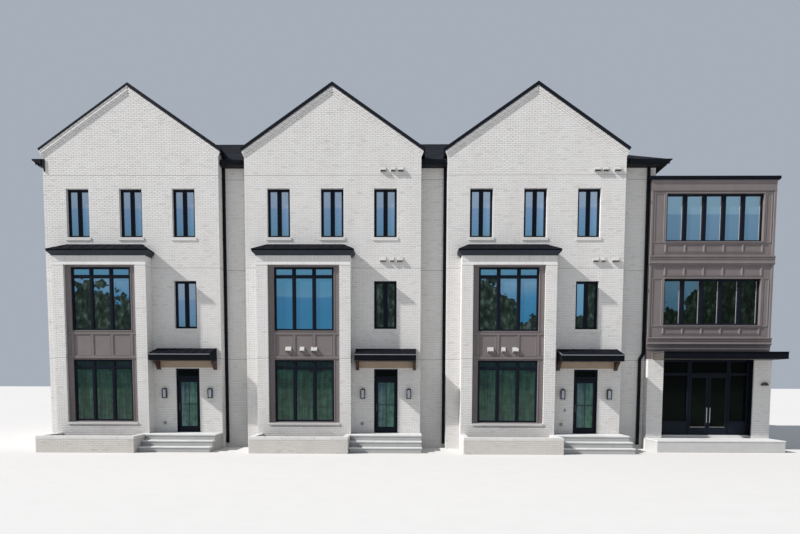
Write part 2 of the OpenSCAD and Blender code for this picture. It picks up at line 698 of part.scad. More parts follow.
module block_glass() color([0.45, 0.60, 0.68, 0.4]) at_block() {
    for (w = [block_win, block_win_top])
        box(light_x0, light_x0 + 5 * light_w, block_y + 160, block_y + 160 + glass_t, w[0], w[1]);
    box(shop_x0, shop_mid - 775, 500, 500 + glass_t, shop_z0 + 500, block_pier_z);
    box(shop_mid + 775, shop_x1, 500, 500 + glass_t, shop_z0 + 500, block_pier_z);
    box(shop_mid - 765, shop_mid + 765, 500, 500 + glass_t, 2920, block_pier_z);
}

// a glazed shop door between x0 and x1, its pull handle near x, hung at x_edge
module shop_leaf(x0, x1, x, x_edge) {
    hinges(x_edge - 2 * sign(x - x_edge), 418, x_edge, 440, [690, 1660, 2660]);
    difference() {
        box(x0, x1, 440, 440 + leaf_t, shop_z0 + 10, 2892);
        box(x0 + 80, x1 - 80, 300, 600, shop_z0 + 320, 2800);
    }
    for (z = [1080, 1560]) box(x - 12, x + 12, 400, 440, z - 12, z + 12);
    box(x - 16, x + 16, 372, 400, 1020, 1620);
}

module shop_door_left() color([0.12, 0.12, 0.13]) at_block()
    shop_leaf(shop_mid - 748, shop_mid - 6, shop_mid - 62, shop_mid - 748);

module shop_door_right() color([0.12, 0.12, 0.13]) at_block()
    shop_leaf(shop_mid + 6, shop_mid + 748, shop_mid + 62, shop_mid + 748);

module shop_glass_left() color([0.45, 0.60, 0.68, 0.4]) at_block()
    box(shop_mid - 668, shop_mid - 86, 456, 468, shop_z0 + 320, 2800);

module shop_glass_right() color([0.45, 0.60, 0.68, 0.4]) at_block()
    box(shop_mid + 86, shop_mid + 668, 456, 468, shop_z0 + 320, 2800);

module block_canopy() color([0.14, 0.14, 0.15]) at_block() {
    box(block_x0 + 190, block_x1, -940, block_y, block_pier_z, 3730);
    box(block_x0 + 190, block_x1, -940, block_pier_y - joint_gap, 3463, 3730);
}

module block_coping() color([0.40, 0.38, 0.37]) at_block() {
    z0 = block_top;
    z1 = block_top + 133;
    difference() {
        box(block_x0 - 100, block_x1 + 100, block_y - 100, recess - joint_gap, z0, z1);
        // notch for the downpipe
        box(block_x0 - 110, block_x0 - 5, 430, recess, z0 - 10, z1 + 10);
    }
    box(block_x0 + 224, block_x1 + 100, recess, block_y + 350, z0, z1);
    box(block_x1 - wall - 50, block_x1 + 100, block_y + 350 + joint_gap, in_y1 - 50 - joint_gap, z0, z1);
    box(block_x0 + 224, block_x1 + 100, in_y1 - 50, depth + 100, z0, z1);
}

module block_roof() color([0.30, 0.30, 0.31]) at_block()
    box(block_x0 + 220, block_x1 - wall, block_y + 300, in_y1, 9950, 10120);

module block_landing() color([0.78, 0.77, 0.75]) at_block() {
    box(block_x0, block_x1, -1000, block_pier_y, 0, landing_z);
    box(shop_x0, shop_x1, block_pier_y, block_y + 300, 0, landing_z);
    box(shop_x0, shop_x1, 400, block_y + 300, landing_z, shop_z0);
}

floors();
gable_walls();
entry_walls_over();
front_wall_piers();
return_walls();
link_walls();
party_walls();
left_end_wall();
rear_walls();
bay_piers();
bay_brickwork();
bay_casings();
bay_window_frames();
bay_roofs();
casement_frames();
house_glass();
window_sills();
door_frames();
door_leaf_1();
door_leaf_2();
door_leaf_3();
door_glass_1();
door_glass_2();
door_glass_3();
entry_canopies();
canopy_timbers();
entry_steps();
planter_walls();
planter_caps();
planter_floors();
main_roof();
gable_roofs();
rake_trims();
rake_corbels();
gutters();
soffits();
wall_lamps();
wall_boxes();
vent_hoods();
block_front_wall();
block_mouldings();
block_piers();
block_frames();
block_glass();
shop_door_left();
shop_door_right();
shop_glass_left();
shop_glass_right();
block_canopy();
block_coping();
block_roof();
block_landing();
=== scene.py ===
import bpy, math, random
from mathutils import Matrix, Vector


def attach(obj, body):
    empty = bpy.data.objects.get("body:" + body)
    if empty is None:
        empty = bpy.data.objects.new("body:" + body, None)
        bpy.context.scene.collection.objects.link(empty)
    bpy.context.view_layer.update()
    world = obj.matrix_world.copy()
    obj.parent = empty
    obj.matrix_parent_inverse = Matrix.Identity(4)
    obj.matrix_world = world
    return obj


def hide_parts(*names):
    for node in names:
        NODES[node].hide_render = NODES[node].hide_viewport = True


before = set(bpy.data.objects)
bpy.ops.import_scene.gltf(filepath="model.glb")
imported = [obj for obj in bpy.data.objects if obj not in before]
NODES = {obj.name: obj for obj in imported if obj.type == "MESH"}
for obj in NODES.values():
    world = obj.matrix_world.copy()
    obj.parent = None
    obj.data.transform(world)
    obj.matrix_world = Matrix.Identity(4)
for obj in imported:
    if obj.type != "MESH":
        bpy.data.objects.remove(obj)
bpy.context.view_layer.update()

rng = random.Random(1949)

# ------------------------------------------------------------------ frame
# House millimetres: x from the middle of a gable, y from the gable wall face,
# z from the ground. The row frame is in metres.
PITCH, OX, OY = 7696.0, 10434.0, 4958.0
RIDGE, SLOPE, HALF = 13741.0, 0.6894, 3353.0
EAVE, EAVE_Y, MID_Y, BACK_Y = 10990.0, 160.0, 6008.0, 11856.0
MAIN = (RIDGE - EAVE) / (MID_Y - EAVE_Y)
RX0, RX1, ROW = -3734.0, 20423.0, 2 * PITCH
LEFT, RIGHT = (RIDGE - EAVE) / (0 - RX0), (RIDGE - EAVE) / (RX1 - ROW)
DEPTH = 11486.0
BX0, BX1, BY = 4430.0, 9170.0, 330.0
LX0, LW = 5036.0, 735.0
JOINTS = (3454.0, 6909.0, 10363.0)


def M(h, x, y, z):
    return ((h * PITCH + x - OX) / 1000, (y - OY) / 1000, z / 1000)


class Face:
    """A flat working face: u along it, v up it, d out of it, all in house mm."""

    def __init__(self, h, o, u, v, n):
        self.h, self.o, self.u, self.v, self.n = h, Vector(o), Vector(u), Vector(v), Vector(n)

    def __call__(self, u, v, d=0.0):
        p = self.o + self.u * u + self.v * v + self.n * d
        return M(self.h, p.x, p.y, p.z)

    def sub(self, u, v, d, U, V, N):
        p = self.o + self.u * u + self.v * v + self.n * d
        return Face(self.h, p, U, V, N)

    def jamb_left(self, u, v=0, d=0):   # looks towards +u, its u runs inwards
        return self.sub(u, v, d, -self.n, self.v, self.u)

    def jamb_right(self, u, v=0, d=0):  # looks towards -u, its u runs outwards
        return self.sub(u, v, d, self.n, self.v, -self.u)

    def head(self, u, v, d=0):          # looks down, its v runs outwards
        return self.sub(u, v, d, self.u, self.n, -self.v)


def front(h, y):
    return Face(h, (0, y, 0), (1, 0, 0), (0, 0, 1), (0, -1, 0))


def back(h, y):      # u = -x
    return Face(h, (0, y, 0), (-1, 0, 0), (0, 0, 1), (0, 1, 0))


def left(h, x):      # u = -y
    return Face(h, (x, 0, 0), (0, -1, 0), (0, 0, 1), (-1, 0, 0))


def right(h, x):     # u = y
    return Face(h, (x, 0, 0), (0, 1, 0), (0, 0, 1), (1, 0, 0))


# ------------------------------------------------------------- mesh building
class Build:
    def __init__(self):
        self.v, self.f, self.m, self.t, self.g, self.s = [], [], [], [], [], []

    def mesh(self, pts, faces, mat=0, tone=0.5, grad=None, sky=None):
        k = len(self.v)
        self.v.extend(pts)
        self.g.extend(grad if grad else [0.0] * len(pts))
        self.s.extend(sky if sky else [0.0] * len(pts))
        for f in faces:
            self.f.append([i + k for i in f])
            self.m.append(mat)
            self.t.append(tone)

    def prism(self, place, poly, d1, d0, mat=0, tone=0.5, closed=False):
        """A flat polygon (counter-clockwise from outside) at depth d1, with sides back to d0."""
        n = len(poly)
        a = [place(u, v, d1) for u, v in poly]
        b = [place(u, v, d0) for u, v in poly]
        faces = [list(range(n))]
        for i in range(n):
            j = (i + 1) % n
            faces.append([i, n + i, n + j, j])
        if closed:
            faces.append(list(range(2 * n - 1, n - 1, -1)))
        self.mesh(a + b, faces, mat, tone)

    def slab(self, place, u0, u1, v0, v1, d1, d0, mat=0, tone=0.5, closed=True):
        self.prism(place, [(u0, v0), (u1, v0), (u1, v1), (u0, v1)], d1, d0, mat, tone, closed)

    def box(self, h, x0, x1, y0, y1, z0, z1, mat=0, tone=0.5):
        self.slab(front(h, y0), x0, x1, z0, z1, 0.0, y0 - y1, mat, tone)

    def extrude(self, h, pts, a0, a1, axis="x", mat=0, tone=0.5):
        """An outline in y,z drawn along x, or in x,z along y; pts run counter-clockwise seen from +x, or from -y."""
        n = len(pts)
        if axis == "x":
            lo = [M(h, a0, p[0], p[1]) for p in pts]
            hi = [M(h, a1, p[0], p[1]) for p in pts]
        else:
            lo = [M(h, p[0], a1, p[1]) for p in pts]
            hi = [M(h, p[0], a0, p[1]) for p in pts]
        faces = [list(range(2 * n - 1, n - 1, -1))[::-1], list(range(n))[::-1]]
        for i in range(n):
            j = (i + 1) % n
            faces.append([i, j, n + j, n + i])
        self.mesh(lo + hi, faces, mat, tone)

    def ring(self, place, u0, u1, v0, v1, prof, mat=0, tone=0.5, closed=True):
        """A picture frame: prof is a list of (inset, depth) that is swept round the opening."""
        n = len(prof)
        pts = []
        for i, d in prof:
            pts += [place(u0 + i, v0 + i, d), place(u1 - i, v0 + i, d), place(u1 - i, v1 - i, d), place(u0 + i, v1 - i, d)]
        faces = []
        for k in range(n if closed else n - 1):
            a, b = 4 * k, 4 * ((k + 1) % n)
            for s in range(4):
                t = (s + 1) % 4
                faces.append([a + s, a + t, b + t, b + s])
        self.mesh(pts, faces, mat, tone)

    def tube(self, h, path, prof, up=(0, 1, 0), mat=0, tone=0.5):
        """A closed outline swept on a path in house mm, with caps; prof holds (side, up) pairs."""
        P = [Vector(p) for p in path]
        n, rings = len(prof), []
        U = Vector(up)
        for i, p in enumerate(P):
            t0 = (P[i] - P[i - 1]).normalized() if i else None
            t1 = (P[i + 1] - P[i]).normalized() if i < len(P) - 1 else None
            t = (t0 or t1) if not (t0 and t1) else (t0 + t1).normalized()
            side = t.cross(U).normalized()
            k = 1.0 if not (t0 and t1) else 1.0 / max(0.3, t.dot(t1))
            rings.append([p + side * (a * k) + U * b for a, b in prof])
        pts = [M(h, *q) for r in rings for q in r]
        faces = [list(range(n))[::-1], list(range((len(P) - 1) * n, len(P) * n))]
        for r in range(len(P) - 1):
            for i in range(n):
                j = (i + 1) % n
                faces.append([r * n + i, r * n + j, (r + 1) * n + j, (r + 1) * n + i])
        self.mesh(pts, faces, mat, tone)

    def round(self, h, p, q, r, n=12, mat=0, tone=0.5):
        """A round bar from p to q with chamfered ends."""
        P, Q = Vector(p), Vector(q)
        t = (Q - P).normalized()
        U = t.orthogonal().normalized()
        W = t.cross(U)
        c = min(r * 0.3, (Q - P).length * 0.2)
        rings = [(P, r - c), (P + t * c, r), (Q - t * c, r), (Q, r - c)]
        pts = []
        for o, rr in rings:
            for i in range(n):
                a = 2 * math.pi * i / n
                pts.append(M(h, *(o + U * (rr * math.cos(a)) + W * (rr * math.sin(a)))))
        faces = [list(range(n))[::-1], list(range(3 * n, 4 * n))]
        for s in range(3):
            for i in range(n):
                j = (i + 1) % n
                faces.append([s * n + i, s * n + j, (s + 1) * n + j, (s + 1) * n + i])
        self.mesh(pts, faces, mat, tone)

    def make(self, name, mats, body, slot, replaces=(), bevel=0.0, seg=1, smooth=False):
        me = bpy.data.meshes.new(name)
        me.from_pydata(self.v, [], self.f)
        for m in mats:
            me.materials.append(m)
        me.polygons.foreach_set("material_index", self.m)
        at = me.attributes.new("tone", "FLOAT", "FACE")
        at.data.foreach_set("value", self.t)
        if any(self.g):
            at = me.attributes.new("rise", "FLOAT", "POINT")
            at.data.foreach_set("value", self.g)
            at = me.attributes.new("sky", "FLOAT", "POINT")
            at.data.foreach_set("value", self.s)
        me.update()
        ob = bpy.data.objects.new(name, me)
        bpy.context.scene.collection.objects.link(ob)
        if bevel:
            b = ob.modifiers.new("bevel", "BEVEL")
            b.width, b.segments, b.limit_method, b.angle_limit = bevel / 1000, seg, "ANGLE", math.radians(35)
            b.harden_normals = False
        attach(ob, body)
        if replaces:
            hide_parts(*replaces)
        return ob


def clip(poly, a, b, c):
    """The part of a polygon where a*u + b*v <= c."""
    out = []
    for i, p in enumerate(poly):
        q = poly[(i + 1) % len(poly)]
        dp, dq = a * p[0] + b * p[1] - c, a * q[0] + b * q[1] - c
        if dp <= 0:
            out.append(p)
        if dp * dq < 0:
            k = dp / (dp - dq)
            out.append((p[0] + (q[0] - p[0]) * k, p[1] + (q[1] - p[1]) * k))
    return out


def area(poly):
    return 0.5 * sum(p[0] * q[1] - q[0] * p[1] for p, q in zip(poly, poly[1:] + poly[:1]))


# ---------------------------------------------------------------- materials
class Mat:
    def __init__(self, name, rough=0.6, metal=0.0, spec=0.5):
        self.m = bpy.data.materials.new(name)
        self.m.use_nodes = True
        self.nt = self.m.node_tree
        self.b = self.nt.nodes["Principled BSDF"]
        self.b.inputs["Roughness"].default_value = rough
        self.b.inputs["Metallic"].default_value = metal
        self.b.inputs["Specular IOR Level"].default_value = spec
        self.co = self.node("ShaderNodeTexCoord").outputs["Object"]

    def node(self, kind, **props):
        n = self.nt.nodes.new(kind)
        for k, v in props.items():
            setattr(n, k, v)
        return n

    def put(self, socket, value):
        if hasattr(value, "links") or hasattr(value, "is_output"):
            self.nt.links.new(value, socket)
        else:
            socket.default_value = value

    def math(self, op, a, b=0.0, c=None, clamp=False):
        n = self.node("ShaderNodeMath", operation=op, use_clamp=clamp)
        self.put(n.inputs[0], a)
        self.put(n.inputs[1], b)
        if c is not None:
            self.put(n.inputs[2], c)
        return n.outputs[0]

    def noise(self, scale, detail=3.0, stretch=(1, 1, 1), rough=0.55, offset=(0, 0, 0)):
        mp = self.node("ShaderNodeMapping")
        mp.inputs["Scale"].default_value = stretch
        mp.inputs["Location"].default_value = offset
        self.nt.links.new(self.co, mp.inputs["Vector"])
        n = self.node("ShaderNodeTexNoise")
        n.inputs["Scale"].default_value = scale
        n.inputs["Detail"].default_value = detail
        n.inputs["Roughness"].default_value = rough
        self.nt.links.new(mp.outputs[0], n.inputs["Vector"])
        return n.outputs["Fac"]

    def attr(self, name):
        return self.node("ShaderNodeAttribute", attribute_name=name).outputs["Fac"]

    def ramp(self, fac, stops, interp="LINEAR"):
        n = self.node("ShaderNodeValToRGB")
        n.color_ramp.interpolation = interp
        e = n.color_ramp.elements
        while len(e) < len(stops):
            e.new(0.5)
        for el, (p, c) in zip(e, stops):
            el.position, el.color = p, (*c, 1)
        self.put(n.inputs[0], fac)
        return n.outputs[0]

    def mix(self, fac, a, b, blend="MIX"):
        n = self.node("ShaderNodeMix", data_type="RGBA", blend_type=blend)
        self.put(n.inputs[0], fac)
        self.put(n.inputs[6], a if not isinstance(a, tuple) else (*a, 1))
        self.put(n.inputs[7], b if not isinstance(b, tuple) else (*b, 1))
        return n.outputs[2]

    def grey(self, value):
        n = self.node("ShaderNodeCombineColor")
        for i in range(3):
            self.put(n.inputs[i], value)
        return n.outputs[0]

    def bump(self, height, strength=0.3, dist=0.002, normal=None):
        n = self.node("ShaderNodeBump")
        n.inputs["Strength"].default_value = strength
        n.inputs["Distance"].default_value = dist
        self.put(n.inputs["Height"], height)
        if normal is not None:
            self.nt.links.new(normal, n.inputs["Normal"])
        return n.outputs[0]

    def out(self, color=None, rough=None, normal=None, alpha=None):
        if color is not None:
            self.put(self.b.inputs["Base Color"], color if not isinstance(color, tuple) else (*color, 1))
        if rough is not None:
            self.put(self.b.inputs["Roughness"], rough)
        if normal is not None:
            self.nt.links.new(normal, self.b.inputs["Normal"])
        if alpha is not None:
            self.b.inputs["Alpha"].default_value = alpha
        return self.m


def varied(m, lo, hi, big=1.2, small=45.0, tone=0.0, amount=0.5):
    """A colour between lo and hi, driven by coarse and fine noise and by each piece's own tone."""
    f = m.math("MULTIPLY", m.noise(big, 4.0), amount)
    f = m.math("ADD", f, m.math("MULTIPLY", m.noise(small, 3.0), 1.0 - amount - tone))
    if tone:
        f = m.math("ADD", f, m.math("MULTIPLY", m.attr("tone"), tone))
    return m.ramp(f, [(0.25, lo), (0.75, hi)]), f


def make_brick(name, shift=(1, 1, 1)):
    m = Mat(name, rough=0.86, spec=0.3)
    s = lambda c: tuple(a * b for a, b in zip(c, shift))
    t = m.math("ADD", m.math("MULTIPLY", m.attr("tone"), 0.78), m.math("MULTIPLY", m.noise(9.0, 4.0), 0.22))
    c = m.ramp(t, [(0.0, s((0.46, 0.445, 0.43))), (0.18, s((0.60, 0.59, 0.57))), (0.45, s((0.685, 0.675, 0.655))),
                   (0.8, s((0.72, 0.71, 0.695))), (1.0, s((0.75, 0.74, 0.725)))])
    # fine specks and soft rain marks
    sp = m.ramp(m.noise(160.0, 2.0), [(0.30, (0.80, 0.79, 0.78)), (0.42, (1, 1, 1))])
    c = m.mix(0.7, c, sp, "MULTIPLY")
    st = m.ramp(m.noise(1.6, 4.0, (1, 1, 0.22)), [(0.30, (0.93, 0.925, 0.915)), (0.62, (1, 1, 1))])
    c = m.mix(0.8, c, st, "MULTIPLY")
    h = m.math("ADD", m.math("MULTIPLY", m.noise(70.0, 4.0), 0.6), m.math("MULTIPLY", m.noise(260.0, 2.0), 0.4))
    r = m.math("MULTIPLY_ADD", m.noise(30.0, 2.0), 0.16, 0.76)
    return m.out(c, r, m.bump(h, 0.5, 0.003))


def make_mortar():
    m = Mat("mortar", rough=0.95, spec=0.2)
    c, f = varied(m, (0.40, 0.385, 0.36), (0.52, 0.505, 0.48), 2.0, 80.0)
    return m.out(c, None, m.bump(m.noise(300.0, 3.0), 0.5, 0.002))


def make_plaster():
    m = Mat("plaster", rough=0.9, spec=0.2)
    c, f = varied(m, (0.52, 0.51, 0.49), (0.60, 0.59, 0.57), 0.7, 30.0)
    return m.out(c, None, m.bump(m.noise(120.0, 3.0), 0.25, 0.001))


def make_sealant():
    m = Mat("joint_sealant", rough=0.8)
    c, f = varied(m, (0.20, 0.185, 0.17), (0.27, 0.255, 0.235), 3.0, 60.0)
    return m.out(c, None, m.bump(m.noise(200.0), 0.3, 0.001))


def make_stone(name, lo=(0.56, 0.55, 0.53), hi=(0.70, 0.69, 0.665)):
    m = Mat(name, rough=0.75, spec=0.35)
    c, f = varied(m, lo, hi, 3.0, 55.0, tone=0.25, amount=0.4)
    v = m.node("ShaderNodeTexVoronoi")
    v.inputs["Scale"].default_value = 170.0
    m.nt.links.new(m.co, v.inputs["Vector"])
    sp = m.ramp(v.outputs["Distance"], [(0.06, (0.72, 0.71, 0.69)), (0.2, (1, 1, 1))])
    c = m.mix(0.45, c, sp, "MULTIPLY")
    h = m.math("ADD", m.noise(40.0, 4.0), m.math("MULTIPLY", m.noise(220.0, 2.0), 0.5))
    r = m.math("MULTIPLY_ADD", m.noise(18.0), 0.2, 0.62)
    return m.out(c, r, m.bump(h, 0.35, 0.002))


def make_paint(name, lo, hi, rough=0.5, grain=0.25, tone=0.0, metal=0.0, spec=0.5):
    m = Mat(name, rough=rough, metal=metal, spec=spec)
    c, f = varied(m, lo, hi, 1.5, 35.0, tone=tone, amount=0.45)
    dust = m.ramp(m.noise(2.4, 5.0, (1, 1, 0.3)), [(0.35, (0.90, 0.895, 0.88)), (0.6, (1, 1, 1))])
    c = m.mix(0.7, c, dust, "MULTIPLY")
    h = m.math("ADD", m.noise(90.0, 3.0, (1, 1, 0.25)), m.math("MULTIPLY", m.noise(8.0, 2.0), 0.6))
    r = m.math("MULTIPLY_ADD", m.noise(12.0, 3.0), 0.2, rough - 0.1)
    return m.out(c, r, m.bump(h, grain, 0.001))


def make_shingle():
    m = Mat("shingle", rough=0.92, spec=0.12)
    t = m.math("ADD", m.math("MULTIPLY", m.attr("tone"), 0.7), m.math("MULTIPLY", m.noise(3.0, 4.0), 0.3))
    c = m.ramp(t, [(0.1, (0.012, 0.014, 0.019)), (0.5, (0.023, 0.026, 0.034)), (0.9, (0.040, 0.043, 0.052))])
    g = m.ramp(m.noise(420.0, 2.0), [(0.35, (0.55, 0.55, 0.56)), (0.65, (1.25, 1.24, 1.22))])
    c = m.mix(0.6, c, g, "MULTIPLY")
    return m.out(c, None, m.bump(m.noise(420.0, 2.0), 0.8, 0.002))


def make_wood(name, lo, hi, axis):
    m = Mat(name, rough=0.62, spec=0.35)
    st = {"x": (0.12, 1, 1), "y": (1, 0.12, 1), "z": (1, 1, 0.12)}[axis]
    w = m.noise(38.0, 5.0, st)
    f = m.math("ADD", m.math("MULTIPLY", w, 0.7), m.math("MULTIPLY", m.noise(150.0, 2.0, st), 0.3))
    c = m.ramp(f, [(0.30, lo), (0.52, tuple((a + b) / 2 for a, b in zip(lo, hi))), (0.72, hi)])
    return m.out(c, m.math("MULTIPLY_ADD", w, 0.25, 0.48), m.bump(f, 0.4, 0.002))


def make_glass(name, stops, warp=0.10, metal=0.85, alpha=1.0, rough=0.03, scale=1.3, coat=0.3, spec=0.6):
    """Window glass: a mirror-like sheet whose colour is a painted reflection, changing softly from its foot to its
    head.
    """
    m = Mat(name, rough=rough, metal=metal, spec=spec)
    n = m.math("SUBTRACT", m.noise(scale, 4.0), 0.5)
    f = m.math("ADD", m.attr("rise"), m.math("MULTIPLY", n, warp * 4), clamp=True)
    c = m.ramp(f, stops)
    m.b.inputs["Coat Weight"].default_value = coat
    m.b.inputs["Coat Roughness"].default_value = 0.02
    wave = m.noise(0.9, 1.0)
    r = m.math("MULTIPLY_ADD", m.noise(6.0, 3.0), 0.04, rough)
    return m.out(c, r, m.bump(wave, 0.12, 0.01), alpha)


def make_sky_glass(name, plain, soft, dark, wide=1.2, scale=2.2, metal=0.85, rough=0.03, coat=0.3, lift=0.0):
    """Window glass with a painted reflection, bright sky above and dark trees below: the value "sky" moves the ragged
    edge up or down the pane.
    """
    m = Mat(name, rough=rough, metal=metal, spec=0.5)
    rise, sky = m.attr("rise"), m.attr("sky")
    n = m.math("SUBTRACT", m.noise(scale, 6.0, rough=0.62), 0.5)
    f = m.math("MULTIPLY_ADD", sky, 1.6, m.math("SUBTRACT", rise, 0.8))
    k = m.ramp(m.math("MULTIPLY_ADD", n, wide, f), [(0.485, (0, 0, 0)), (0.515, (1, 1, 1))])
    cloud = m.math("SUBTRACT", m.noise(0.9, 3.0, offset=(3.0, 0.0, 1.7)), 0.5)
    a = m.ramp(m.math("MULTIPLY_ADD", cloud, 0.10, rise, clamp=True), plain)
    b = m.ramp(m.math("MULTIPLY_ADD", cloud, 0.8, rise, clamp=True), soft)
    c = m.mix(m.math("GREATER_THAN", sky, 0.86), b, a)
    gain = m.ramp(sky, [(0.86, (1 - lift,) * 3), (1.0, (1.0,) * 3)])
    c = m.mix(1.0, c, gain, "MULTIPLY")
    low = m.math("ADD", m.noise(5.5, 5.0, (1, 1, 0.7)), m.math("MULTIPLY", m.noise(26.0, 3.0, (1, 1, 0.12)), 0.25))
    d = m.ramp(low, dark)
    m.b.inputs["Coat Weight"].default_value = coat
    m.b.inputs["Coat Roughness"].default_value = 0.02
    r = m.math("MULTIPLY_ADD", m.noise(6.0, 3.0), 0.04, rough)
    return m.out(m.mix(k, d, c), r, m.bump(m.noise(0.9, 1.0), 0.12, 0.01))


def make_low_glass(name, stops, sides, metal=0.6, spec=0.3, coat=0.2):
    """Dark glass near the ground, with faint upright streaks; its colour is a painted reflection that changes up and
    across the pane.
    """
    m = Mat(name, rough=0.03, metal=metal, spec=spec)
    n = m.math("SUBTRACT", m.noise(1.3, 4.0), 0.5)
    c = m.ramp(m.math("MULTIPLY_ADD", n, 0.45, m.attr("rise"), clamp=True), stops)
    c = m.mix(1.0, c, m.ramp(m.attr("sky"), sides), "MULTIPLY")
    st = m.ramp(m.noise(17.0, 3.0, (1, 1, 0.05)), [(0.36, (0.66, 0.68, 0.67)), (0.50, (1, 1, 1)), (0.66, (1.5, 1.45, 1.4))])
    c = m.mix(0.8, c, st, "MULTIPLY")
    bl = m.ramp(m.noise(5.0, 5.0), [(0.38, (0.6, 0.62, 0.6)), (0.6, (1.25, 1.25, 1.2))])
    c = m.mix(0.7, c, bl, "MULTIPLY")
    m.b.inputs["Coat Weight"].default_value = coat
    m.b.inputs["Coat Roughness"].default_value = 0.02
    return m.out(c, m.math("MULTIPLY_ADD", m.noise(6.0, 3.0), 0.04, 0.03), m.bump(m.noise(0.9, 1.0), 0.12, 0.01))


BRICK = make_brick("brick_light")
BRICK_LOW = make_brick("brick_planter", (0.86, 0.84, 0.81))
MORTAR = make_mortar()
PLASTER = make_plaster()
SEALANT = make_sealant()
STONE = make_stone("stone_light")
STEP = make_stone("stone_step", (0.52, 0.52, 0.51), (0.68, 0.68, 0.665))
TAUPE = make_paint("taupe_paint", (0.153, 0.132, 0.131), (0.197, 0.172, 0.171), 0.6, 0.25, tone=0.15, spec=0.3)
FRAME = make_paint("frame_dark", (0.0035, 0.0055, 0.0115), (0.0068, 0.0100, 0.0185), 0.42, 0.12, spec=0.1)
SASH = make_paint("sash_dark", (0.0060, 0.0090, 0.0165), (0.0100, 0.0145, 0.0250), 0.4, 0.12, spec=0.1)
METAL = make_paint("roof_metal", (0.0038, 0.0046, 0.0074), (0.0080, 0.0092, 0.0140), 0.7, 0.2, tone=0.2, spec=0.04)
CANOPY = make_paint("canopy_metal", (0.0038, 0.0048, 0.0068), (0.0076, 0.0090, 0.0118), 0.6, 0.15, spec=0.05)
# pale paint for the strip beside each block pane: a painted highlight of the sunlit mullion edge
EDGE_HIGHLIGHT = make_paint("pane_edge_painted_highlight", (0.34, 0.325, 0.31), (0.44, 0.42, 0.40), 0.5, 0.1)
# lighter paint for the shop canopy's left end: a painted highlight of the sun on the dark steel
SIDE_HIGHLIGHT = make_paint("canopy_side_painted_highlight", (0.085, 0.077, 0.069), (0.115, 0.104, 0.093), 0.5, 0.15, spec=0.2)
# light grey paint for thin metal edges: a painted highlight where the sun catches the drip edges and the canopy end
DRIP_HIGHLIGHT = make_paint("drip_edge_painted_highlight", (0.17, 0.18, 0.20), (0.25, 0.265, 0.29), 0.4, 0.1, spec=0.3)
FASCIA = make_paint("fascia_metal", (0.024, 0.030, 0.039), (0.034, 0.041, 0.053), 0.55, 0.15, spec=0.2)
GUTTER = make_paint("gutter_dark", (0.0035, 0.0055, 0.0080), (0.0075, 0.0100, 0.0132), 0.5, 0.15, spec=0.08)
TRIM = make_paint("rake_paint", (0.0070, 0.0090, 0.0132), (0.0130, 0.0152, 0.0210), 0.55, 0.2, spec=0.1)
COPING = make_paint("coping_metal", (0.0038, 0.0044, 0.0080), (0.0070, 0.0082, 0.0130), 0.45, 0.15, spec=0.08)
SOFFIT = make_paint("soffit_board", (0.050, 0.044, 0.040), (0.085, 0.075, 0.068), 0.6, 0.25, tone=0.2)
WHITE = make_paint("hood_white", (0.43, 0.42, 0.40), (0.51, 0.50, 0.475), 0.5, 0.1)
EAVE_BOARD = make_paint("eave_board", (0.010, 0.011, 0.013), (0.020, 0.021, 0.024), 0.6, 0.25, tone=0.2, spec=0.1)
GREYBOX = make_paint("box_grey", (0.24, 0.235, 0.23), (0.34, 0.335, 0.33), 0.5, 0.15)
STEEL = make_paint("steel", (0.50, 0.50, 0.50), (0.64, 0.64, 0.63), 0.3, 0.08, metal=1.0)
LAMP = make_paint("lamp_metal", (0.012, 0.012, 0.013), (0.028, 0.028, 0.030), 0.4, 0.12)
TIMBER = make_wood("timber_dark", (0.030, 0.014, 0.010), (0.078, 0.040, 0.027), "y")
LEDGER = make_wood("timber_ledger", (0.28, 0.215, 0.155), (0.43, 0.335, 0.25), "x")
SHINGLE = make_shingle()
MEMBRANE = make_paint("roof_membrane", (0.10, 0.10, 0.10), (0.15, 0.15, 0.15), 0.85, 0.4)


def make_floor_boards():
    m = Mat("floor_boards", rough=0.5, spec=0.4)
    bt = m.node("ShaderNodeTexBrick")
    bt.offset = 0.5
    bt.inputs["Scale"].default_value = 1.0
    bt.inputs["Brick Width"].default_value = 1.8
    bt.inputs["Row Height"].default_value = 0.14
    bt.inputs["Mortar Size"].default_value = 0.003
    bt.inputs["Color1"].default_value = (0.20, 0.13, 0.08, 1)
    bt.inputs["Color2"].default_value = (0.27, 0.18, 0.11, 1)
    bt.inputs["Mortar"].default_value = (0.05, 0.035, 0.025, 1)
    m.nt.links.new(m.co, bt.inputs["Vector"])
    c = m.mix(0.35, bt.outputs["Color"], m.ramp(m.noise(30.0, 4.0, (0.1, 1, 1)), [(0.3, (0.7, 0.7, 0.7)), (0.7, (1.1, 1.1, 1.1))]), "MULTIPLY")
    return m.out(c, None, m.bump(m.noise(60.0, 4.0, (0.1, 1, 1)), 0.2, 0.001))


def make_soil():
    m = Mat("planter_soil", rough=0.97, spec=0.15)
    c, f = varied(m, (0.035, 0.022, 0.016), (0.110, 0.070, 0.048), 9.0, 60.0)
    return m.out(c, None, m.bump(m.math("ADD", m.noise(25.0, 5.0), m.noise(90.0, 3.0)), 0.9, 0.012))


BOARDS, SOIL = make_floor_boards(), make_soil()
BULB = Mat("lamp_glass", rough=0.25, spec=0.5)
_c = BULB.ramp(BULB.noise(14.0, 3.0), [(0.3, (0.34, 0.37, 0.43)), (0.7, (0.46, 0.49, 0.56))])
BULB = BULB.out(_c, None, BULB.bump(BULB.noise(40.0), 0.1, 0.001))
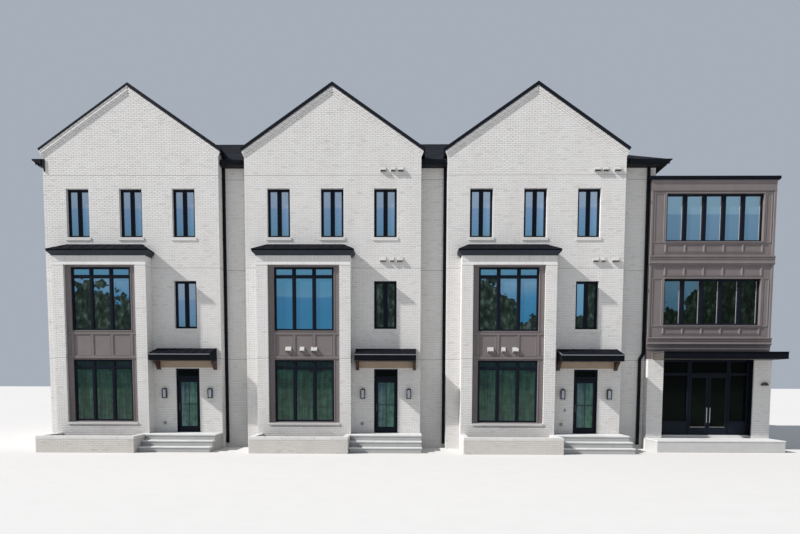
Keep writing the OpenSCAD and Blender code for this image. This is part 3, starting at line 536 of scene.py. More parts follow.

# painted reflection of dark trees, for the lower part of the sky glass
TREE_REFLECTION = [(0.30, (0.006, 0.012, 0.008)), (0.52, (0.012, 0.024, 0.015)), (0.68, (0.040, 0.068, 0.044)), (0.84, (0.16, 0.22, 0.18))]
# the glass colours below are painted reflections of sky and trees
G_UP = make_sky_glass("glass_upper", [(0.0, (0.26, 0.48, 0.56)), (0.22, (0.28, 0.53, 0.76)), (0.60, (0.38, 0.57, 0.80)),
                                      (0.64, (0.52, 0.67, 0.84)), (1.0, (0.60, 0.72, 0.82))],
                      [(0.0, (0.25, 0.56, 0.86)), (1.0, (0.38, 0.78, 1.0))], TREE_REFLECTION, lift=0.14)
G_BAY = make_sky_glass("glass_bay_upper", [(0.0, (0.084, 0.32, 0.51)), (0.20, (0.066, 0.315, 0.52)), (0.52, (0.09, 0.32, 0.55)), (0.545, (0.18, 0.44, 0.62)),
                                           (0.75, (0.145, 0.43, 0.62)), (1.0, (0.205, 0.475, 0.64))],
                       [(0.0, (0.05, 0.31, 0.51)), (0.45, (0.097, 0.357, 0.60)), (0.70, (0.205, 0.45, 0.64)), (1.0, (0.34, 0.57, 0.73))], TREE_REFLECTION)
G_LOW = make_low_glass("glass_bay_lower", [(0.0, (0.032, 0.070, 0.054)), (0.5, (0.021, 0.060, 0.042)), (0.84, (0.024, 0.070, 0.053)),
                                           (0.87, (0.009, 0.030, 0.027)), (1.0, (0.008, 0.026, 0.025))], [(0.0, (1, 1, 1)), (1.0, (1, 1, 1))])
G_DOOR = make_low_glass("glass_door", [(0.0, (0.052, 0.108, 0.098)), (0.5, (0.045, 0.094, 0.088)), (1.0, (0.052, 0.108, 0.110))],
                        [(0.44, (1.0, 0.95, 1.10)), (0.56, (0.92, 1.12, 0.97))])
G_TOP = make_glass("glass_block_upper", [(0.0, (0.225, 0.41, 0.56)), (0.575, (0.255, 0.44, 0.59)), (0.60, (0.36, 0.59, 0.70)),
                                         (1.0, (0.405, 0.62, 0.72))], warp=0.004)
G_MID = make_sky_glass("glass_block_middle", [(0.0, (0.10, 0.22, 0.30)), (1.0, (0.16, 0.30, 0.38))],
                       [(0.0, (0.08, 0.20, 0.28)), (1.0, (0.15, 0.30, 0.38))],
                       [(0.30, (0.003, 0.006, 0.003)), (0.55, (0.006, 0.012, 0.006)), (0.72, (0.018, 0.034, 0.018)), (0.90, (0.10, 0.14, 0.11))], wide=1.6, coat=0.08)
# near-black shop glass: painted shade of the dark shop behind it, with a faintly lighter band as painted reflection
G_SHOP = make_glass("glass_shop", [(0.0, (0.0015, 0.0022, 0.0018)), (0.3, (0.003, 0.006, 0.004)), (1.0, (0.0015, 0.0022, 0.0018))],
                    warp=0.15, metal=0.0, coat=0.0, spec=0.04)
G_BACK = make_glass("glass_rear", [(0.0, (0.16, 0.24, 0.26)), (0.4, (0.20, 0.32, 0.38)), (1.0, (0.40, 0.52, 0.60))], warp=0.08)

# --------------------------------------------------------------- masonry
BRICK_L, BRICK_H, JT = 203.2, 67.733, 10.0


def tone():
    r = rng.random()
    if r < 0.02:
        return rng.uniform(0.1, 0.3)
    return min(1.0, max(0.0, rng.gauss(0.58, 0.14)))


def minus(rects, hole):
    out = []
    h0, h1, k0, k1 = hole
    for a, b, c, d in rects:
        if h1 <= a or h0 >= b or k1 <= c or k0 >= d:
            out.append((a, b, c, d))
            continue
        if k0 > c:
            out.append((a, b, c, k0))
        if k1 < d:
            out.append((a, b, k1, d))
        c2, d2 = max(c, k0), min(d, k1)
        if h0 > a:
            out.append((a, h0, c2, d2))
        if h1 < b:
            out.append((h1, b, c2, d2))
    return out


def lay(B, place, u0, u1, v0, v1, holes=(), keep=None, uoff=0.0, voff=0.0, L=BRICK_L, H=BRICK_H, stack=False,
        front_d=0.0, back_d=-8.0, joints=JOINTS, mat=0, light=None, small=14.0):
    """Bricks in running bond over a rectangle of a wall face, less its openings."""
    holes = list(holes)
    for z in joints:
        if v0 < z < v1:
            holes.append((u0 - 1, u1 + 1, z - 9, z + 9))
    k = math.floor((v0 - voff) / H) - 1
    while voff + k * H < v1:
        va = voff + k * H
        vb = va + H - JT
        k += 1
        if vb <= v0 + 4:
            continue
        sh = 0.0 if (k % 2 == 0 or stack) else L / 2
        i = math.floor((u0 - uoff - sh) / L) - 1
        near = [q for q in holes if q[2] < vb and q[3] > va]
        while uoff + sh + i * L < u1:
            ua = uoff + sh + i * L
            ub = ua + L - JT
            i += 1
            a, b, c, d = max(ua, u0), min(ub, u1), max(va, v0), min(vb, v1)
            if b - a < small or d - c < 8:
                continue
            if keep and not keep((a + b) / 2, (c + d) / 2):
                continue
            rects = [(a, b, c, d)]
            for q in near:
                rects = minus(rects, q)
                if not rects:
                    break
            t = tone() if light is None else rng.uniform(*light)
            dd = front_d - rng.random() * 1.0
            for r in rects:
                if r[1] - r[0] < small or r[3] - r[2] < 8:
                    continue
                B.prism(place, [(r[0], r[2]), (r[1], r[2]), (r[1], r[3]), (r[0], r[3])], dd, back_d, mat, t)


def seal(B, place, u0, u1, z, mat=1, holes=()):
    """The dark joint strip that crosses a wall at height z."""
    spans = [(u0, u1)]
    for h0, h1, k0, k1 in holes:
        if k0 < z < k1:
            spans = [s for a, b in spans for s in ((a, min(b, h0)), (max(a, h1), b)) if s[1] - s[0] > 1]
    for a, b in spans:
        B.slab(place, a, b, z - 9.5, z + 9.5, -2.5, -8.0, mat, closed=False)


def course_wall(B, place, u0, u1, v0, v1, holes=(), keep=None, **kw):
    lay(B, place, u0, u1, v0, v1, holes, keep, **kw)
    for z in JOINTS:
        if v0 < z < v1:
            seal(B, place, u0, u1, z, 1, holes)


def reveals(B, place, u0, u1, v0, v1, deep=148.0, top=True):
    """Bricks on both jambs and the head of an opening in a brick wall."""
    lay(B, place.jamb_left(u0), 6.0, deep, v0, v1, joints=(), front_d=4.0, back_d=-1.0, uoff=-101.6)
    lay(B, place.jamb_right(u1), -deep, -6.0, v0, v1, joints=(), front_d=4.0, back_d=-1.0, uoff=0.0)
    if top:
        lay(B, place.head(0, v1), u0 + 5, u1 - 5, -deep, -6.0, joints=(), L=BRICK_H, H=400, stack=True, voff=-300,
            front_d=4.0, back_d=-1.0)


def core(name, node, planes, rule, mats=None):
    """A copy of a wall's own solid, its brick faces set back by the depth of a joint."""
    src = NODES[node]
    me = src.data.copy()
    for v in me.vertices:
        for ax, val, dl in planes:
            if abs(v.co[ax] - val) < 0.0006:
                v.co[ax] = val + dl / 1000
    me.materials.clear()
    for m in mats or (MORTAR, PLASTER):
        me.materials.append(m)
    for p in me.polygons:
        p.material_index = 1 if rule(p.center, p.normal) else 0
    me.update()
    ob = bpy.data.objects.new(name, me)
    bpy.context.scene.collection.objects.link(ob)
    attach(ob, "building")
    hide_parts(node)
    return ob


def px(h, x):
    return (0, (h * PITCH + x - OX) / 1000)


def py(y):
    return (1, (y - OY) / 1000)


def Yc(c):
    return c.y * 1000 + OY


def Xc(c):
    return c.x * 1000 + OX


S = 8.0
WIN_W, WIN_H, SILL = 870.0, 1829.0, 115.0
TOP_Z, MID_Z, LOW_Z = 8060.0, 4606.0, 1152.0
FRONT_WIN = [(-2498.0, TOP_Z), (-460.0, TOP_Z), (1563.0, TOP_Z), (1563.0, MID_Z)]

core("gable_wall_core", "gable_walls",
     [(*py(0), S)] + [(*px(h, -HALF), S) for h in range(3)] + [(*px(h, HALF), -S) for h in range(3)],
     lambda c, n: Yc(c) > 345)
core("entry_wall_core", "entry_walls_over", [(*py(0), S)] + [(*px(h, HALF), -S) for h in range(3)],
     lambda c, n: Yc(c) > 345)
core("front_pier_core", "front_wall_piers",
     [(*py(0), S)] + [(*px(h, -HALF), S) for h in range(3)] + [(*px(h, HALF), -S) for h in range(3)],
     lambda c, n: Yc(c) > 345)
core("return_wall_core", "return_walls",
     [(*px(h, -HALF), S) for h in range(3)] + [(*px(h, HALF), -S) for h in range(3)],
     lambda c, n: abs(abs((Xc(c) + PITCH / 2) % PITCH - PITCH / 2) - HALF) > 20)
core("link_wall_core", "link_walls", [(*py(530), S), (*px(2, BX0 + 220), -S)],
     lambda c, n: Yc(c) > 560 and Xc(c) < ROW + BX0 + 200)
core("party_wall_core", "party_walls", [(*px(2, BX1), -S), (*py(DEPTH), -S), (*px(2, BX0 + 220), -S)],
     lambda c, n: not (Xc(c) > ROW + BX1 - 20 or Yc(c) > DEPTH - 20 or (abs(Xc(c) - ROW - BX0 - 214) < 15)))
core("left_end_core", "left_end_wall", [(*px(0, -HALF), S)], lambda c, n: Xc(c) > -HALF + 345)
core("rear_wall_core", "rear_walls", [(*py(DEPTH), -S), (*px(0, -HALF), S)],
     lambda c, n: Yc(c) < DEPTH - 345)
core("bay_pier_core", "bay_piers",
     [(*py(-560), S)] + [p for h in range(3) for p in ((*px(h, -2825), S), (*px(h, 716), -S), (*px(h, -2395), -S), (*px(h, 295), S))],
     lambda c, n: Yc(c) > -200 and abs(n.x) > 0.5 and -2500 < (Xc(c) + 3848) % PITCH - 3848 < 400)
core("bay_brick_core", "bay_brickwork", [(*py(-560), S)], lambda c, n: Yc(c) > -230 and n.y > 0.5)
core("planter_core", "planter_walls",
     [(*py(-2000), S), (*py(-1800), -S)] + [p for h in range(3) for p in (
         (*px(h, -2820), S), (*px(h, 745), -S), (*px(h, -2620), -S), (*px(h, 545), S))],
     lambda c, n: False)
core("corbel_core", "rake_corbels", [(*py(-50), S), (*py(-33), S), (*py(-16), S)], lambda c, n: False)
core("block_pier_core", "block_piers",
     [(*py(130), S), (*px(2, BX0), S), (*px(2, 5034), -S), (*px(2, 8501), S), (*px(2, BX1), -S)],
     lambda c, n: Yc(c) > 625)


def under_rake(drop):
    return lambda u, v: v < RIDGE - SLOPE * abs(u) - drop


# the three gable fronts
B = Build()
for h in range(3):
    f = front(h, 0)
    holes = [(x, x + WIN_W, z - SILL, z + WIN_H) for x, z in FRONT_WIN]
    holes += [(-2825, 716, 0, 7269), (-2945, 830, 7269, 7444), (-2515, 400, 7444, 7796), (1564, 2484, 600, 3080),
              (750, HALF, 0, 600)]
    course_wall(B, f, -HALF, HALF, 0, RIDGE, holes, keep=under_rake(285), uoff=-HALF)
    for x, z in FRONT_WIN:
        reveals(B, f, x, x + WIN_W, z, z + WIN_H)
    reveals(B, f, 1564, 2484, 600, 3080, deep=58)
B.make("gable_bricks", [BRICK, SEALANT], "building", "light_brick")

# returns, links and the left end wall
B = Build()
for h in range(3):
    for s in (-1, 1):
        place = left(h, -HALF) if s < 0 else right(h, HALF)
        if h == 0 and s < 0:
            holes = [(-(y + WIN_W), -y, z - SILL, z + WIN_H) for y in (3200, 7400) for z in (LOW_Z, MID_Z, TOP_Z)]
            course_wall(B, place, -DEPTH, -S, 0, 11255, holes, keep=lambda u, v: v < 10795 or u > -170, uoff=-S)
            for a, b, c, d in holes:
                reveals(B, place, a, b, c + SILL, d)
            continue
        lo, hi = (-530, -S) if s < 0 else (S, 530)
        sg = -1 if s < 0 else 1
        course_wall(B, place, lo, hi, 0, 11255, keep=lambda u, v: v < 10795 or abs(u) < 170, uoff=sg * S)
for h, x1 in ((0, 4343), (1, 4343), (2, 4430)):
    course_wall(B, front(h, 530), HALF + 1, x1, 0, 10790, uoff=HALF)
course_wall(B, front(2, 530), 4430, 4650, 10275, 10790, uoff=HALF)
course_wall(B, right(2, 4650), 538, DEPTH, 10120, 10985, uoff=530)
B.make("side_bricks", [BRICK, SEALANT], "building", "light_brick")

# the back of the three houses
B = Build()
holes = [(-(h * PITCH + x + WIN_W), -(h * PITCH + x), z - SILL, z + WIN_H)
         for h in range(3) for x in (-1900, 1030) for z in (LOW_Z, MID_Z, TOP_Z)]
f = back(0, DEPTH)
course_wall(B, f, -(ROW + BX0 + 220), HALF - S, 0, 10790, holes, uoff=HALF - S)
for a, b, c, d in holes:
    reveals(B, f, a, b, c + SILL, d)
B.make("rear_bricks", [BRICK, SEALANT], "building", "light_brick")

# the end block's party wall and back
B = Build()
holes = [(-(x + WIN_W), -x, z - SILL, z + WIN_H) for x in (LX0 + 300, LX0 + 2500) for z in (MID_Z, TOP_Z)]
f = back(2, DEPTH)
course_wall(B, f, -(BX1 - S), -(BX0 + 224), 0, 10270, holes, uoff=-BX1)
for a, b, c, d in holes:
    reveals(B, f, a, b, c + SILL, d)
course_wall(B, right(2, BX1), 632, DEPTH - S, 0, 10270, uoff=130)
course_wall(B, right(2, BX1), 130 + S, 632, 0, 3485, uoff=130)
B.make("party_bricks", [BRICK, SEALANT], "building", "light_brick")

# bays, planters, corbels and the shop piers
B = Build()
for h in range(3):
    f = front(h, -560)
    hole = [(-2395, 295, 938, 6942)]
    course_wall(B, f, -2825, 716, 0, 6942, hole, uoff=-2825)
    sides = [(f, -2825, 716), (left(h, -2825), 0 + S, 560 - S), (right(h, 716), -560 + S, 0)]
    for place, a, b in sides:
        lay(B, place, a, b, 6942, 7040, L=600, H=108, voff=6942, stack=True, light=(0.72, 0.9), joints=(), uoff=a)
        lay(B, place, a, b, 7050, 7269, L=BRICK_H, H=230, voff=7050, stack=True, joints=(), uoff=a)
    course_wall(B, left(h, -2825), 0, 560 - S, 0, 6942, uoff=560)
    course_wall(B, right(h, 716), -560 + S, 0, 0, 6942, uoff=-560)
    lay(B, right(h, -2395), -560 + S, -442, 1016, 6942, uoff=-560)
    lay(B, left(h, 295), 442, 560 - S, 1016, 6942, uoff=560 - BRICK_L)
    lay(B, f.head(0, 6942), -2395, 295, -120, -S, L=300, H=400, stack=True, voff=-300, joints=(), front_d=4, back_d=-1, light=(0.5, 0.8))
    # planter
    f = front(h, -2000)
    lay(B, f, -2820, 745, 0, 490, uoff=-2820, mat=2)
    lay(B, back(h, -1800), -545 + S, 2620 - S, 250, 490, uoff=2620, mat=2)
    lay(B, left(h, -2820), 560, 2000 - S, 0, 490, uoff=2000, mat=2)
    lay(B, right(h, 745), -2000 + S, -560, 0, 490, uoff=-2000, mat=2)
    lay(B, right(h, -2620), -1800 + S, -560, 250, 490, uoff=-1800, mat=2)
    lay(B, left(h, 545), 560, 1800 - S, 250, 490, uoff=1800, mat=2)
    # three corbelled courses under the gable roof, laid along the slope
    ct = 1 / math.hypot(1, SLOPE)
    st = SLOPE * ct
    for c in range(-1, 3):
        y, d1, reach = (-50 + 17 * c, 160 + 83 * (c + 1), (3440 - 25 * c) / ct - st * 83) if c >= 0 else (-52.5, 161, 3440 / ct - st * 40)
        for s in (-1, 1):
            U = Vector((ct, 0, -s * st))
            V = Vector((s * st, 0, ct))
            place = Face(h, (0, y, RIDGE - d1), U, V, (0, -1, 0))
            va, vb = (0.0, 83 * ct - 8) if c >= 0 else (0.0, (83 if (h, s) == (0, -1) else 21) * ct)
            a = -BRICK_L / 2 if c % 2 else 0.0
            while a < reach:
                b = a + BRICK_L - JT
                if s > 0:
                    poly = clip([(a, va), (b, va), (b, vb), (a, vb)], -U.x, -V.x, -4)
                    poly = clip(poly, 1, 0, reach)
                else:
                    poly = clip([(-b, va), (-a, va), (-a, vb), (-b, vb)], U.x, V.x, -4)
                    poly = clip(poly, -1, 0, reach)
                if len(poly) > 2 and area(poly) > 400:
                    B.prism(place, poly, -rng.random(), -9, 0, tone())
                a += BRICK_L
B.make("bay_and_planter_bricks", [BRICK, SEALANT, BRICK_LOW], "building", "light_brick")

B = Build()
for a, b in ((BX0, 5034), (8501, BX1)):
    course_wall(B, front(2, 130), a, b, 440, 3485, uoff=a)
course_wall(B, left(2, BX0), -530, -130 - S, 0, 3485, uoff=-130)
course_wall(B, right(2, 5034), 130 + S, 430, 440, 3485, uoff=130)
course_wall(B, left(2, 8501), -430, -130 - S, 440, 3485, uoff=-130)
B.make("shop_pier_bricks", [BRICK, SEALANT], "building", "pier_brick")

# ------------------------------------------------------------------- roofs
def roof_core(name, node):
    me = NODES[node].data.copy()
    for v in me.vertices:
        if abs(v.co.z - (EAVE - 160) / 1000) < 0.001:
            for x, d in ((RX0, 0.094), (RX1, -0.094)):
                if abs(v.co.x - (x - OX) / 1000) < 0.002:
                    v.co.x += d
        v.co.z -= 0.009
    me.materials.clear()
    me.materials.append(TRIM)
    ob = bpy.data.objects.new(name, me)
    bpy.context.scene.collection.objects.link(ob)
    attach(ob, "building")
    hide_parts(node)


roof_core("main_roof_deck", "main_roof")
roof_core("gable_roof_deck", "gable_roofs")

EXPO = 143.0


def shingles(B, plan, origin, run, rise, seed_off=0.0):
    """Courses of tabs on one roof slope. plan: convex outline in house-0 x,y (counter-clockwise from above); origin: a point
    on the eave line with its height; run: the horizontal uphill direction; rise: slope."""
    rx, ry = run
    k = math.hypot(1, rise)
    ax, ay = ry, -rx                       # along the eave, so that along x uphill looks up
    pts = []
    for x, y in plan:
        dx, dy = x - origin[0], y - origin[1]
        pts.append((dx * ax + dy * ay, (dx * rx + dy * ry) * k))
    if area(pts) < 0:
        pts = pts[::-1]
    U = Vector((ax, ay, 0))
    V = Vector((rx / k, ry / k, rise / k))
    N = U.cross(V)
    O = Vector(origin)
    n = len(pts)
    lines = []
    for i in range(n):
        (x0, y0), (x1, y1) = pts[i], pts[(i + 1) % n]
        a, b = (y1 - y0), -(x1 - x0)
        lines.append((a, b, a * x0 + b * y0))
    vmin, vmax = min(p[1] for p in pts), max(p[1] for p in pts)
    c = math.floor(vmin / EXPO)
    while c * EXPO < vmax:
        va, vb = c * EXPO, (c + 1) * EXPO + 12
        row = [(-1e6, va), (1e6, va), (1e6, vb), (-1e6, vb)]
        for a, b, q in lines:
            row = clip(row, a, b, q)
            if len(row) < 3:
                break
        if len(row) >= 3:
            u0, u1 = min(p[0] for p in row), max(p[0] for p in row)
            u = u0 - ((c * 0.37) % 1.0) * 330 - rng.random() * 60
            while u < u1:
                w = rng.choice((150.0, 220.0, 300.0, 330.0))
                lift = rng.choice((0.0, 2.2))
                poly = [(u + 2, va), (u + w - 2, va), (u + w - 2, vb), (u + 2, vb)]
                inside = True
                for a, b, q in lines:
                    if any(a * p[0] + b * p[1] > q for p in poly):
                        poly = clip(poly, a, b, q)
                        if len(poly) < 3:
                            break
                if len(poly) >= 3 and area(poly) > 600:
                    top = []
                    for p in poly:
                        fr = (p[1] - va) / (vb - va)
                        d = -3.0 + lift + (1 - fr) * 4.0 - 3.0 * fr
                        top.append(O + U * p[0] + V * p[1] + N * d)
                    bot = [O + U * p[0] + V * p[1] - N * 12.0 for p in poly]
                    m_ = len(poly)
                    P = [M(0, *q) for q in top + bot]
                    faces = [list(range(m_))]
                    for i in range(m_):
                        j = (i + 1) % m_
                        if poly[i][1] > vb - 1 and poly[j][1] > vb - 1:
                            continue
                        faces.append([i, m_ + i, m_ + j, j])
                    B.mesh(P, faces, 0, min(1, max(0, rng.gauss(0.5, 0.2))))
                u += w
        c += 1


def caps(B, p, q, na, nb, wide=125.0, lift=2.0):
    """Bent cap tabs along a ridge or hip from p to q; na and nb are the upward normals of its two slopes."""
    P, Q = Vector(p), Vector(q)
    t = (Q - P).normalized()
    L = (Q - P).length
    na, nb = Vector(na).normalized(), Vector(nb).normalized()
    sa = t.cross(na)
    sb = t.cross(nb)
    up = (na + nb).normalized()
    # the side directions point away from each other across the ridge
    if (na - nb).dot(sa) < 0:
        sa = -sa
    if (nb - na).dot(sb) < 0:
        sb = -sb
    i = 0
    while i * EXPO < L:
        a, b = i * EXPO, min(L, (i + 1) * EXPO + 40)
        lo = P + t * a
        hi = P + t * b
        d0, d1 = lift + 5.0, lift
        pts = [lo + sa * wide + na * (d0 - 3), lo + up * d0, lo + sb * wide + nb * (d0 - 3),
               hi + sa * wide + na * (d1 - 3), hi + up * d1, hi + sb * wide + nb * (d1 - 3)]
        low = [x - up * 7 for x in pts]
        faces = [[0, 1, 4, 3], [1, 2, 5, 4], [6, 7, 1, 0], [7, 8, 2, 1], [9, 6, 0, 3], [8, 11, 5, 2], [10, 9, 3, 4], [11, 10, 4, 5],
                 [7, 6, 9, 10], [8, 7, 10, 11]]
        # turn the faces outwards where the sides are mirrored
        nrm = (pts[1] - pts[0]).cross(pts[4] - pts[0])
        if nrm.dot(up) < 0:
            faces = [f[::-1] for f in faces]
        B.mesh([M(0, *x) for x in pts + low], faces, 0, min(1, max(0, rng.gauss(0.5, 0.2))))
        i += 1


B = Build()
F0 = (0.0, EAVE_Y, EAVE)
VY = 6008 - (RIDGE - RIDGE + SLOPE * 3490 / MAIN)     # where a valley starts, at a gable roof's tip
for a, b in ((3490.0, PITCH - 3490.0), (PITCH + 3490, 2 * PITCH - 3490)):
    shingles(B, [(a, EAVE_Y), (b, EAVE_Y), (b, VY), (a, VY)], F0, (0, 1), MAIN)
    shingles(B, [(a, VY), (b, VY), (b + 3490, MID_Y), (a - 3490, MID_Y)], F0, (0, 1), MAIN)
hip_l = lambda y: RX0 + (y - EAVE_Y) * (0 - RX0) / (MID_Y - EAVE_Y)
hip_r = lambda y: RX1 - (y - EAVE_Y) * (RX1 - ROW) / (MID_Y - EAVE_Y)
yl = EAVE_Y + (-3490 - RX0) / (0 - RX0) * (MID_Y - EAVE_Y)
shingles(B, [(RX0, EAVE_Y), (-3490, EAVE_Y), (-3490, yl)], F0, (0, 1), MAIN)
shingles(B, [(ROW + 3490, EAVE_Y), (RX1, EAVE_Y), (hip_r(VY), VY), (ROW + 3490, VY)], F0, (0, 1), MAIN)
shingles(B, [(ROW + 3490, VY), (hip_r(VY), VY), (ROW, MID_Y)], F0, (0, 1), MAIN)
shingles(B, [(RX0, BACK_Y), (0, MID_Y), (ROW, MID_Y), (RX1, BACK_Y)], (0.0, BACK_Y, EAVE), (0, -1), MAIN)
shingles(B, [(RX1, EAVE_Y), (RX1, BACK_Y), (ROW, MID_Y)], (RX1, 0.0, EAVE), (-1, 0), RIGHT)
shingles(B, [(RX0, EAVE_Y), (-3490, yl), (-3490, MID_Y - 20), (RX0, MID_Y - 20)], (RX0, 0.0, EAVE), (1, 0), LEFT)
shingles(B, [(RX0, MID_Y - 20), (0, MID_Y - 20), (0, MID_Y), (RX0, BACK_Y)], (RX0, 0.0, EAVE), (1, 0), LEFT)
nf, nbk = (0, -MAIN, 1), (0, MAIN, 1)
nl, nr = (-LEFT, 0, 1), (RIGHT, 0, 1)
caps(B, (60, MID_Y, RIDGE), (ROW - 60, MID_Y, RIDGE), nf, nbk)
caps(B, (RX0 + 30, BACK_Y - 47, EAVE + 22), (0, MID_Y, RIDGE), nl, nbk)
caps(B, (RX1 - 30, BACK_Y - 35, EAVE + 16), (ROW, MID_Y, RIDGE), nr, nbk)
caps(B, (RX1 - 30, EAVE_Y + 35, EAVE + 16), (ROW, MID_Y, RIDGE), nr, nf)
caps(B, (RX0 + 20, EAVE_Y + 31, EAVE + 15), (-3500, yl - 16, EAVE + (yl - 16 - EAVE_Y) * MAIN), nl, nf, wide=90)
B.make("main_roof_shingles", [SHINGLE], "building", "shingle")

B = Build()
for h in range(3):
    o = h * PITCH
    ytip = VY
    for s in (-1, 1):
        tip = RIDGE - SLOPE * 3490
        if h == 0 and s < 0:
            plan = [(o, -50), (o, MID_Y - 20), (o - 3490, MID_Y - 20), (o - 3490, -50)]
        else:
            plan = [(o, -50), (o, MID_Y), (o + s * 3490, ytip), (o + s * 3490, -50)]
        shingles(B, plan, (o + s * 3490, 0.0, tip), (-s, 0), SLOPE)
    caps(B, (o, -50, RIDGE), (o, MID_Y - 30, RIDGE), (-SLOPE, 0, 1), (SLOPE, 0, 1), lift=0.0)
B.make("gable_roof_shingles", [SHINGLE], "building", "shingle")

# the fascia along the gable edges, in two steps with a metal drip above, its lower ends cut square
B = Build()
for h in range(3):
    for s in (-1, 1):
        for y0, y1, a, b, mt in ((-75, -50, -3, 50, 0), (-68, -50, 50, 76 if (h, s) == (0, -1) else 138, 0), (-75, -44, -12, -3, 1)):
            xi, xo = 2.5, 3490.0 - (a + 12) * 0.4673
            xb = xo - (b - a) * 0.4673
            q = [(s * xi, RIDGE - SLOPE * xi - a), (s * xo, RIDGE - SLOPE * xo - a),
                 (s * xb, RIDGE - SLOPE * xb - b), (s * xi, RIDGE - SLOPE * xi - b)]
            B.prism(front(h, y0), q if area(q) > 0 else q[::-1], 0.0, y0 - y1, mt, rng.random(), closed=True)
B.make("rake_fascia", [TRIM, METAL], "building", "dark_metal", ["rake_trims"])

# level eaves: hollow gutters, downpipes with straps
B = Build()


def gutter(h, p, q, out, slant=False):
    """A gutter from p to q; out points away from the building and is as wide as the gutter."""
    P, Q, O = Vector(p), Vector(q), Vector(out)
    z0, z1 = 10800.0, 10973.0
    w = O.length
    o = O.normalized()
    t = (Q - P).normalized()
    prof = [(0, z0 + 6), (w * 0.62, z0), (w * 0.80, z0 + 55), (w, z0 + 100), (w, z1), (w - 9, z1), (w - 9, z0 + 103),
            (w * 0.80 - 6, z0 + 60), (w * 0.60, z0 + 5), (4, z0 + 10), (4, z1), (0, z1)]
    pl = [(0, z0 + 6), (w * 0.62, z0), (w * 0.80, z0 + 55), (w, z0 + 100), (w, z1), (0, z1)]
    if slant:
        prof = [(0, z1 - 76), (w, z1 - 22), (w, z1), (w - 8, z1), (w - 8, z1 - 17), (5, z1 - 66), (5, z1), (0, z1)]
        pl = [(0, z1 - 76), (w, z1 - 22), (w, z1), (0, z1)]
    pts = []
    for e in (P, Q):
        for a, z in prof:
            pts.append(M(h, *(e + o * a + Vector((0, 0, z - e.z)))))
    n = len(prof)
    flip = t.cross(Vector((0, 0, 1))).dot(o) < 0
    faces = []
    for i in range(n):
        j = (i + 1) % n
        faces.append([i, j, n + j, n + i])
    faces += [list(range(n))[::-1], list(range(n, 2 * n))]
    if not flip:
        faces = [f[::-1] for f in faces]
    B.mesh(pts, faces)
    # end plates
    for e, d in ((P, 1), (Q, -1)):
        a = [M(h, *(e + o * u + Vector((0, 0, z - e.z)))) for u, z in pl]
        b = [M(h, *(e + t * (3 * d) + o * u + Vector((0, 0, z - e.z)))) for u, z in pl]
        k = len(pl)
        fc = [list(range(k)), list(range(2 * k - 1, k - 1, -1))] + [[i, k + i, k + (i + 1) % k, (i + 1) % k] for i in range(k)]
        if (d > 0) == flip:
            fc = [f[::-1] for f in fc]
        B.mesh(a + b, fc)


for h in (0, 1):
    gutter(h, (3490, 160, 0), (PITCH - 3490, 160, 0), (0, -100, 0))
gutter(0, (RX0, 164, 0), (RX0, BACK_Y - 4, 0), (-60, 0, 0), True)
gutter(0, (RX0 - 60, BACK_Y, 0), (RX1 + 60, BACK_Y, 0), (0, 60, 0))
gutter(0, (RX1, 164, 0), (RX1, BACK_Y - 4, 0), (60, 0, 0), True)
gutter(0, (ROW + 3490, 160, 0), (RX1 - 110, 160, 0), (0, -100, 0))
# the pointed boxes that end the front gutters
for e, sg, x1 in ((RX0 - 60, 1, -3490.0), (RX1 + 60, -1, RX1 - 112)):
    q = [(e, 10973), (e, 10951), (x1, 10815), (x1, 10973)] if sg > 0 else [(e, 10973), (e, 10951), (e - 169, 10800), (x1, 10800), (x1, 10973)]
    B.prism(front(0, 62), q if area(q) > 0 else q[::-1], 0.0, -98.0, 0, 0.5, closed=True)
    q = [(e + sg * 3, 10960), (e + sg * 3, 10948), (x1, 10948), (x1, 10960)]
    B.prism(front(0, 60), q if area(q) > 0 else q[::-1], 0.0, -3.0, 0, 0.5, closed=True)
# the left eave returns round the corner of the first gable: a box end, a drop beside the wall and a lip
for q, y0, y1 in (([(-3744, 10973), (-3744, 10955), (-3400, 10782), (-3357, 10722), (-3357, 10973)], -40, 61),
                  ([(-3400, 10972), (-3400, 10780), (-3352, 10712), (-3308, 10610), (-3290, 10505), (-3262, 10505), (-3262, 10972)], -40, -4),
                  ([(-3742, 10972), (-3742, 10956), (-3264, 10956), (-3264, 10972)], -44, -40),
                  ([(-3286, 10545), (-3286, 10507), (-3264, 10507), (-3264, 10545)], -44, -40)):
    B.prism(front(0, y0), q if area(q) > 0 else q[::-1], 0.0, y0 - y1, 0, 0.5, closed=True)
PIPE = [(-49, -42), (49, -42), (55, -36), (55, 36), (49, 42), (-49, 42), (-55, 36), (-55, -36)]
for h, x in ((0, 3413), (1, 4275)):
    B.tube(h, [(x, 482.5, 10786), (x, 482.5, 150)], [(a, b * 0.98) for a, b in PIPE])
    for z in (900, 2700, 4500, 6300, 8100, 9900):
        B.tube(h, [(x, 482.5, z), (x, 482.5, z - 45)], [(a * 1.09, b * 1.09) for a, b in PIPE])
B.tube(2, [(4365, 482.5, 10786), (4365, 482.5, 3710), (4235, 482.5, 3490), (4235, 482.5, 150)], PIPE)
for z in (900, 2700):
    B.tube(2, [(4235, 482.5, z), (4235, 482.5, z - 45)], [(a * 1.09, b * 1.09) for a, b in PIPE])
for z in (4500, 6300, 8100, 9900):
    B.tube(2, [(4365, 482.5, z), (4365, 482.5, z - 45)], [(a * 1.09, b * 1.09) for a, b in PIPE])
B.make("gutters_and_downpipes", [GUTTER], "building", "gutter_metal", ["gutters"])

# boards under the eaves
B = Build()


